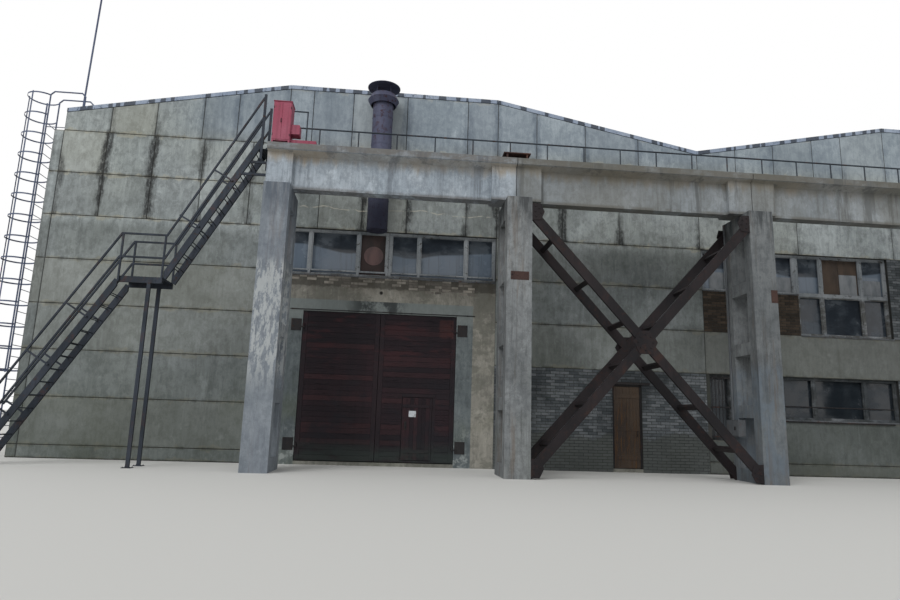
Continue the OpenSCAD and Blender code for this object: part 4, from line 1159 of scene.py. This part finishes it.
def pier_marks(f):
    """Whitewash left on the first pier and on the foot of the third, ochre and dark drips, sooty heads, and
    painted shade that darkens the piers from the second on.
    """
    x = f.along()
    torn = f.patches(0.44, 0.56, 2.8, (1.4, 1.4, 0.5), 9, 0.72, 0.3, 41.0)
    third = f.times(f.step(x, 17.0, 17.2), f.off(x, 19.0, 19.2), f.off(f.z, 2.5, 2.85))
    f.lay((120, 134, 148), third, f.step(torn, 0.0, 1.0, 0.2, 0.6))
    f.lay((112, 96, 80), f.patches(0.52, 0.66, 1.0, (5, 5, 0.4), 9, 0.72, 0.2, 42.0), 0.5)
    f.lay((70, 68, 66), f.patches(0.52, 0.64, 1.0, (12, 12, 0.5), 9, 0.74, 0.3, 44.0), 0.45)
    soot = f.patches(0.40, 0.58, 1.4, (4, 4, 0.5), 7, 0.66, shift=43.0)
    f.lay((58, 60, 62), f.step(f.z, 5.4, 6.4), soot, 0.8)
    on_first = f.off(x, 7.1, 7.3)
    f.lay((120, 134, 152), on_first, 0.35)
    flakes = f.patches(0.47, 0.53, 4.4, (1.5, 1.5, 0.45), 10, 0.78, 0.2, 46.0)
    f.lay((188, 192, 192), on_first, f.step(f.z, 1.5, 2.6), f.off(f.z, 4.5, 4.8), flakes, 0.62)
    # Painted shade: the piers darken from the second one on, more from the third.
    f.lay((54, 60, 64), f.plus(f.step(x, 11.0, 11.5, 0.0, 0.20), f.step(x, 17.0, 17.5, 0.0, 0.18)))


def beam_marks(f):
    """Ochre run down from under the flange, dark drips and a dark wet edge along the foot."""
    ragged = f.plus(f.z, f.times(f.noise(1.2, (4, 4, 0.5), 7, 0.66, shift=51.0), -0.7))
    run = f.times(f.step(ragged, 6.70, 6.98), f.off(f.z, 7.40, 7.42))
    f.lay((158, 144, 122), run, f.patches(0.36, 0.62, 0.5, (1, 1, 0.5), 4, 0.5, shift=53.0, least=0.45), 0.70)
    top = f.patches(0.36, 0.56, 2.2, (1, 1, 2), 9, 0.74, 0.2, 55.0, 0.45, 0.85)
    f.lay((104, 100, 94), f.step(f.z, 7.40, 7.43), top)
    f.lay((84, 76, 68), f.step(f.z, 6.62, 6.54), f.patches(0.36, 0.52, 1.6, detail=6, shift=52.0), 0.6)
    x = f.along()
    drips = f.patches(0.52, 0.62, 1.0, (2.8, 2.8, 0.18), 9, 0.72, 0.2, 56.0)
    f.lay((84, 90, 98), drips, f.step(x, 11.9, 12.2, 0.50, 0.70))
    darker = f.patches(0.34, 0.6, 0.7, (1, 1, 0.4), shift=54.0, least=0.5, most=0.85)
    f.lay((96, 94, 84), f.step(x, 11.9, 12.2), darker, 0.8)


piers = [f"pier_{n}" for n in range(1, 7)]
pier_concrete = concrete(
    "pier_concrete", (158, 162, 164), (128, 132, 135), (60, 62, 64), 0.8, 0.2, pier_marks
)
beam_concrete = concrete(
    "beam_concrete", (192, 201, 210), (164, 175, 186), (96, 103, 110), 0.6, 0.0, beam_marks
)
rust_steel = old_paint("rust_steel", (66, 50, 48), (82, 62, 56), (46, 38, 38), 0.5, 0.7, 0.2, rust=0.4)
finish_nodes(pier_concrete, *piers)
finish_nodes(beam_concrete, "trestle_beams")
finish_nodes(rust_steel, "crane_rail")

pier_low, pier_high = box_of("pier_1")
beam_low, beam_high = box_of("trestle_beams")
rail_low, rail_high = box_of("crane_rail")
beam_top = beam_high.z
beam_mid = (beam_low.y + beam_high.y) / 2
clip_count = 60
clips = []
clip_bolts = []
for i in range(clip_count):
    x = rail_low.x + 0.2 + i * (rail_high.x - rail_low.x - 0.4) / (clip_count - 1)
    for side in (-1, 1):
        y = beam_mid + side * 0.075
        clips.append((around(x, 0.035), around(y, 0.04), (beam_top - 0.001, beam_top + 0.022)))
        clip_bolts.append((x, y + side * 0.015, beam_top + 0.03))
made("rail_clips", [
    boxes(rust_steel, *clips), bolts(rust_steel, clip_bolts, "z", 0.028, 0.02),
], 0.002)

on_pier = (pier_low.y - 0.008, pier_low.y + 0.001)
plate_bolts = [(x, z) for z in (4.53, 4.65) for x in (11.93, 12.26)] + [(18.3, 4.28), (18.3, 4.49)]
made("pier_plates", [
    boxes(rust_steel, ((11.88, 12.31), on_pier, (4.49, 4.69)), ((18.22, 18.38), on_pier, (4.23, 4.54))),
    bolts(rust_steel, [(x, pier_low.y - 0.012, z) for x, z in plate_bolts], "y", 0.022, 0.012),
], 0.001)
table_foot, table_top = beam_top + 0.001, beam_top + 0.121
made("table_plate", [boxes(
    rust_steel, ((11.71, 12.38), (beam_low.y + 0.02, beam_low.y + 0.34), (table_top, table_top + 0.025)), *[
        ((x, x + 0.04), (beam_low.y + y, beam_low.y + y + 0.04), (table_foot, table_top))
        for x in (11.78, 12.27) for y in (0.04, 0.28)
    ],
)], 0.002)
made("beam_joints", [boxes(mortar, *[
    (around(beam_low.x + n * bay - 0.01, 0.009), around(beam_mid, 0.27), (6.53, beam_top - 0.16))
    for n in range(1, 5)
])], 0.001)

# Walkway and railing
# Chequered plate on angle brackets, a thin dark railing and the ties that hold them to the wall.
walk_steel = old_paint(
    "walkway_steel", (50, 56, 64), (72, 80, 88), (84, 62, 48), 0.4, 0.6, 0.4, rust=0.4
)
finish_nodes(walk_steel, "walkway", "walkway_railing", "wall_ties")
walk_low, walk_high = box_of("walkway")
walk_x = (walk_low.x + 0.002, walk_high.x - 0.002)
made("walkway_plates", [
    laid(
        walk_steel, walk_x, (0, walk_high.y - walk_low.y), length=1.5, height=0.45, gap=0.006, depth=0.005,
        bond=0.0, set_back=0.002, seed=60,
        place=Matrix.Translation(at(walk_x[0], walk_high.y, beam_top + 0.0015)) @ turn(math.pi / 2, "X"),
    ),
    bolts(walk_steel, [
        (walk_low.x + 0.12 + 0.75 * i, y, beam_top + 0.006)
        for i in range(39) for y in (walk_low.y + 0.05, walk_high.y - 0.05)
    ], "z", 0.02, 0.008),
], 0.001)
tie_x = [(box_of(name)[0].x + box_of(name)[1].x) / 2 for name in piers]
made("tie_plates", [
    boxes(walk_steel, *[
        (around(x, 0.15), (-0.016, -0.0005), (beam_top - 0.16, beam_top + 0.06)) for x in tie_x
    ]),
    bolts(walk_steel, [(x + dx, -0.024, beam_top - 0.05) for x in tie_x for dx in (-0.1, 0.1)]),
], 0.002)

# Bracing
# Two crossed diagonals of paired steel sections with battens, bolted to plates cast into the piers.
brace_steel = old_paint("brace_steel", (27, 25, 28), (42, 36, 38), (54, 42, 41), 0.5, 0.66, 0.1, rust=0.15)
finish_nodes(brace_steel, "brace_rising", "brace_falling")
brace_low, brace_high = box_of("brace_falling")
gusset_t = 0.012
gusset_levels = ((6.28, -1), (0.13, 1))
cross_z = 3.15
cross_r = 0.18


def outline_plate(material, points, y):
    """Flat plate with that outline in X and Z, as thick as y says."""
    bm = bmesh.new()
    near, far = ([bm.verts.new(at(px, depth, pz)) for px, pz in points] for depth in y)
    bm.faces.new(near)
    bm.faces.new(far[::-1])
    for i in range(len(points)):
        j = (i + 1) % len(points)
        bm.faces.new((near[j], near[i], far[i], far[j]))
    bmesh.ops.recalc_face_normals(bm, faces=bm.faces)
    return mesh_of(bm, material)


gussets = []
gusset_bolts = []
front, rear = pier_low.y + 0.006, pier_high.y - 0.014
for y, s, outer in ((front, 1.0, front - 0.008), (rear, 0.6, rear + gusset_t + 0.008)):
    for x, way in ((brace_low.x, 1), (brace_high.x, -1)):
        for z, lift in gusset_levels:
            gussets.append(outline_plate(brace_steel, [
                (x, z - 0.10 * lift), (x + way * 0.20 * s, z - 0.10 * lift),
                (x + way * 0.30 * s, z + 0.10 * lift), (x + way * 0.22 * s, z + 0.30 * s * lift),
                (x, z + 0.32 * s * lift),
            ], (y, y + gusset_t)))
            gusset_bolts += [
                (x + way * u * s, outer, z + lift * v * s)
                for u, v in ((0.07, -0.03), (0.07, 0.10), (0.17, 0.02), (0.21, 0.13), (0.09, 0.22))
            ]
cross_x = (brace_low.x + brace_high.x) / 2
gusset_bolts += [
    (cross_x + cross_r * math.cos(t), pier_low.y + 0.001, cross_z + cross_r * math.sin(t))
    for t in (k * math.pi / 4 for k in range(8))
]
made("brace_gussets", [*gussets, bolts(brace_steel, gusset_bolts, "y", 0.034)], 0.001)

# Stair
# Channel stringers with bar treads, a mesh deck on the landing, and flat rails, all painted black.
stair_steel = old_paint(
    "stair_steel", (44, 50, 58), (62, 68, 78), (72, 54, 44), 0.35, 0.6, 0.4, rust=0.25
)
finish_nodes(stair_steel, "stair_lower_flight", "stair_upper_flight", "stair_landing")
finish_nodes(stair_steel, "stair_rail_near", "stair_rail_far")
deck_low, deck_high = box_of("stair_landing")
deck_x = (deck_low.x + 0.01, deck_high.x - 0.01)
mesh_pitch = 0.075
mesh_slant = 1.6
strand = 0.004


def lattice(y, z):
    """Diamond mesh of thin flat strands over the landing, at that level."""
    strands = []
    wide, deep = deck_x[1] - deck_x[0], y[1] - y[0]
    for way in (1, -1):
        for i in range(int((wide + deep * mesh_slant) / mesh_pitch) + 1):
            start = i * mesh_pitch - (deep * mesh_slant if way > 0 else 0.0)
            ends = sorted(((start, 0.0), (start + way * mesh_slant * deep, deep)))
            (u0, v0), (u1, v1) = ends
            if u1 <= 0 or u0 >= wide:
                continue
            slope = (v1 - v0) / (u1 - u0)
            level = z + (0.0 if way > 0 else strand * 0.4)
            path = [
                (deck_x[0] + u, y[0] + v0 + slope * (u - u0), level) for u in (max(u0, 0.0), min(u1, wide))
            ]
            if math.dist(*path) > 0.02:
                strands.append(tube(stair_steel, path, strand, 4))
    return strands


made("landing_mesh", [
    *lattice((deck_low.y + 0.02, deck_high.y - 0.02), deck_high.z + 0.004),
    *lattice((deck_low.y + 0.065, deck_high.y - 0.065), deck_high.z - 0.034),
])
post_x = deck_low.x + 0.7
post_ys = (deck_low.y, deck_high.y - 0.06)
made("landing_feet", [
    boxes(stair_steel, *[(around(post_x, 0.1), (y - 0.07, y + 0.13), (0.0, 0.012)) for y in post_ys]),
    bolts(stair_steel, [
        (post_x + dx, y + dy, 0.02) for dx in (-0.075, 0.075) for dy in (-0.045, 0.105) for y in post_ys
    ], "z", 0.024, 0.016),
    bolts(stair_steel, [
        (deck_low.x + dx, deck_low.y - 0.005, deck_high.z - 0.08) for dx in (0.06, 0.16, 0.84, 0.94)
    ], "y", 0.026, 0.014),
], 0.001)

# Ladder and mast
# Bent pipe stiles with bar rungs in a hooped cage, bolted to the left wall, and a lightning rod on the roof.
ladder_steel = old_paint(
    "ladder_steel", (84, 94, 120), (104, 114, 136), (82, 64, 56), 0.4, 0.55, 0.3, rust=0.3
)
finish_nodes(ladder_steel, "roof_ladder", "ladder_cage", "mast_rod")
wall_face = box_of("left_wall")[0].x
fixings = [(y, z) for y in (0.55, 1.05) for z in (1.5, 3.9, 6.3)]
made("ladder_plates", [
    boxes(ladder_steel, *[
        ((wall_face - 0.008, wall_face - 0.0005), around(y, 0.06), around(z, 0.06)) for y, z in fixings
    ]),
    bolts(ladder_steel, [
        (wall_face - 0.014, y + d, z - d) for y, z in fixings for d in (-0.04, 0.04)
    ], "x", 0.02, 0.012),
], 0.001)
mast_low = box_of("mast_rod")[0]
made("mast_foot", [
    tube(ladder_steel, [(0.06, 0.65, mast_low.z + 0.01), (0.061, 0.65, mast_low.z + 0.05)], 0.055, 16),
    tube(ladder_steel, [(0.065, 0.65, mast_low.z + 0.05), (0.068, 0.65, mast_low.z + 0.20)], 0.033, 16),
])

# Vent stack
# Rolled sheet-metal pipe with riveted laps, a flared collar and a shallow cap on four straps.
vent_x, vent_y, vent_r = bay + 2.65, -0.52, 0.28
lap_h = 0.06
ring_sides = 48
rivet_count = 18


def vent_marks(f):
    """Painted shade, with some soot, makes the pipe nearly black where it comes out of the wall under the
    beam.
    """
    f.lay((32, 34, 50), f.step(f.z, 7.5, 6.7), 0.65)


def vent_circle(radius, z, count):
    turns = (2 * math.pi * k / count for k in range(count))
    return [(vent_x + radius * math.cos(t), vent_y + radius * math.sin(t), z) for t in turns]


def lap(z):
    """Flat hoop round the vent pipe."""
    bm = bmesh.new()
    inner, outer = vent_r - 0.001, vent_r + 0.004
    corners = ((inner, z), (outer, z), (outer, z + lap_h), (inner, z + lap_h))
    loops = [[bm.verts.new(at(*p)) for p in vent_circle(r, h, ring_sides)] for r, h in corners]
    for a, b in zip(loops, loops[1:] + loops[:1]):
        for k in range(ring_sides):
            bm.faces.new((a[k], a[(k + 1) % ring_sides], b[(k + 1) % ring_sides], b[k]))
    bmesh.ops.recalc_face_normals(bm, faces=bm.faces)
    return mesh_of(bm, vent_steel)


vent_steel = old_paint(
    "vent_steel", (74, 76, 98), (92, 96, 118), (70, 52, 60), 0.7, 0.6, 0.2, rust=0.12, marks=vent_marks
)
finish_nodes(vent_steel, "vent_stack")
laps = [box_of("vent_stack")[0].z + 0.02 + 0.8 * i for i in range(5)]
rivets = [p for z in laps for p in vent_circle(vent_r + 0.006, z + lap_h / 2, rivet_count)]
made("vent_laps", [*[lap(z) for z in laps], bolts(vent_steel, rivets, "z", 0.016, 0.012)])

# Cabinet and switch box
# Sheet-steel cabinet on the trestle end, painted red, with two doors, hinges and a bar handle.
# The grey switch box with its conduit hangs on the third pier.
cabinet_red = old_paint("cabinet_red", (156, 70, 92), (166, 92, 112), (120, 84, 82), 0.25, 0.5, rust=0.12)
switch_grey = old_paint("switch_grey", (84, 88, 92), (108, 112, 116), (66, 60, 56), 0.4, 0.55, 0.2, rust=0.3)
finish_nodes(cabinet_red, "control_cabinet")
finish_nodes(switch_grey, "pier_switch")
cab_low, cab_high = box_of("control_cabinet")
left, front, foot, head = cab_low.x, cab_low.y, beam_top + 0.12, cab_high.z
cab_doors = [
    ((left + x, left + x + 0.195), (front - 0.008, front + 0.001), (foot + 0.03, head - 0.03))
    for x in (0.015, 0.22)
]
cab_roof = ((left - 0.012, left + 0.442), (front - 0.02, cab_high.y + 0.02), (head - 0.001, head + 0.012))
cab_handle = ((left + 0.19, left + 0.205), (front - 0.03, front - 0.006), (foot + 0.46, foot + 0.56))
made("cabinet_doors", [
    boxes(cabinet_red, *cab_doors, cab_roof),
    boxes(black_steel, cab_handle, *[
        ((left + x, left + x + 0.012), (front - 0.014, front), (foot + z, foot + z + 0.06))
        for x in (0.008, 0.41) for z in (0.12, 0.82)
    ]),
], 0.002)
switch_low = box_of("pier_switch")[0]
left, front = switch_low.x, switch_low.y
lid_x, lid_z = (left - 0.010, left + 0.001), (1.07, 1.43)
made("switch_details", [
    boxes(
        switch_grey, *[(lid_x, (front + y, front + y + 0.25), lid_z) for y in (0.02, 0.29)],
        ((left + 0.02, left + 0.16), (front - 0.008, front + 0.001), lid_z),
    ),
    boxes(black_steel, ((left - 0.035, left - 0.008), (front + 0.12, front + 0.15), (1.21, 1.29))),
])
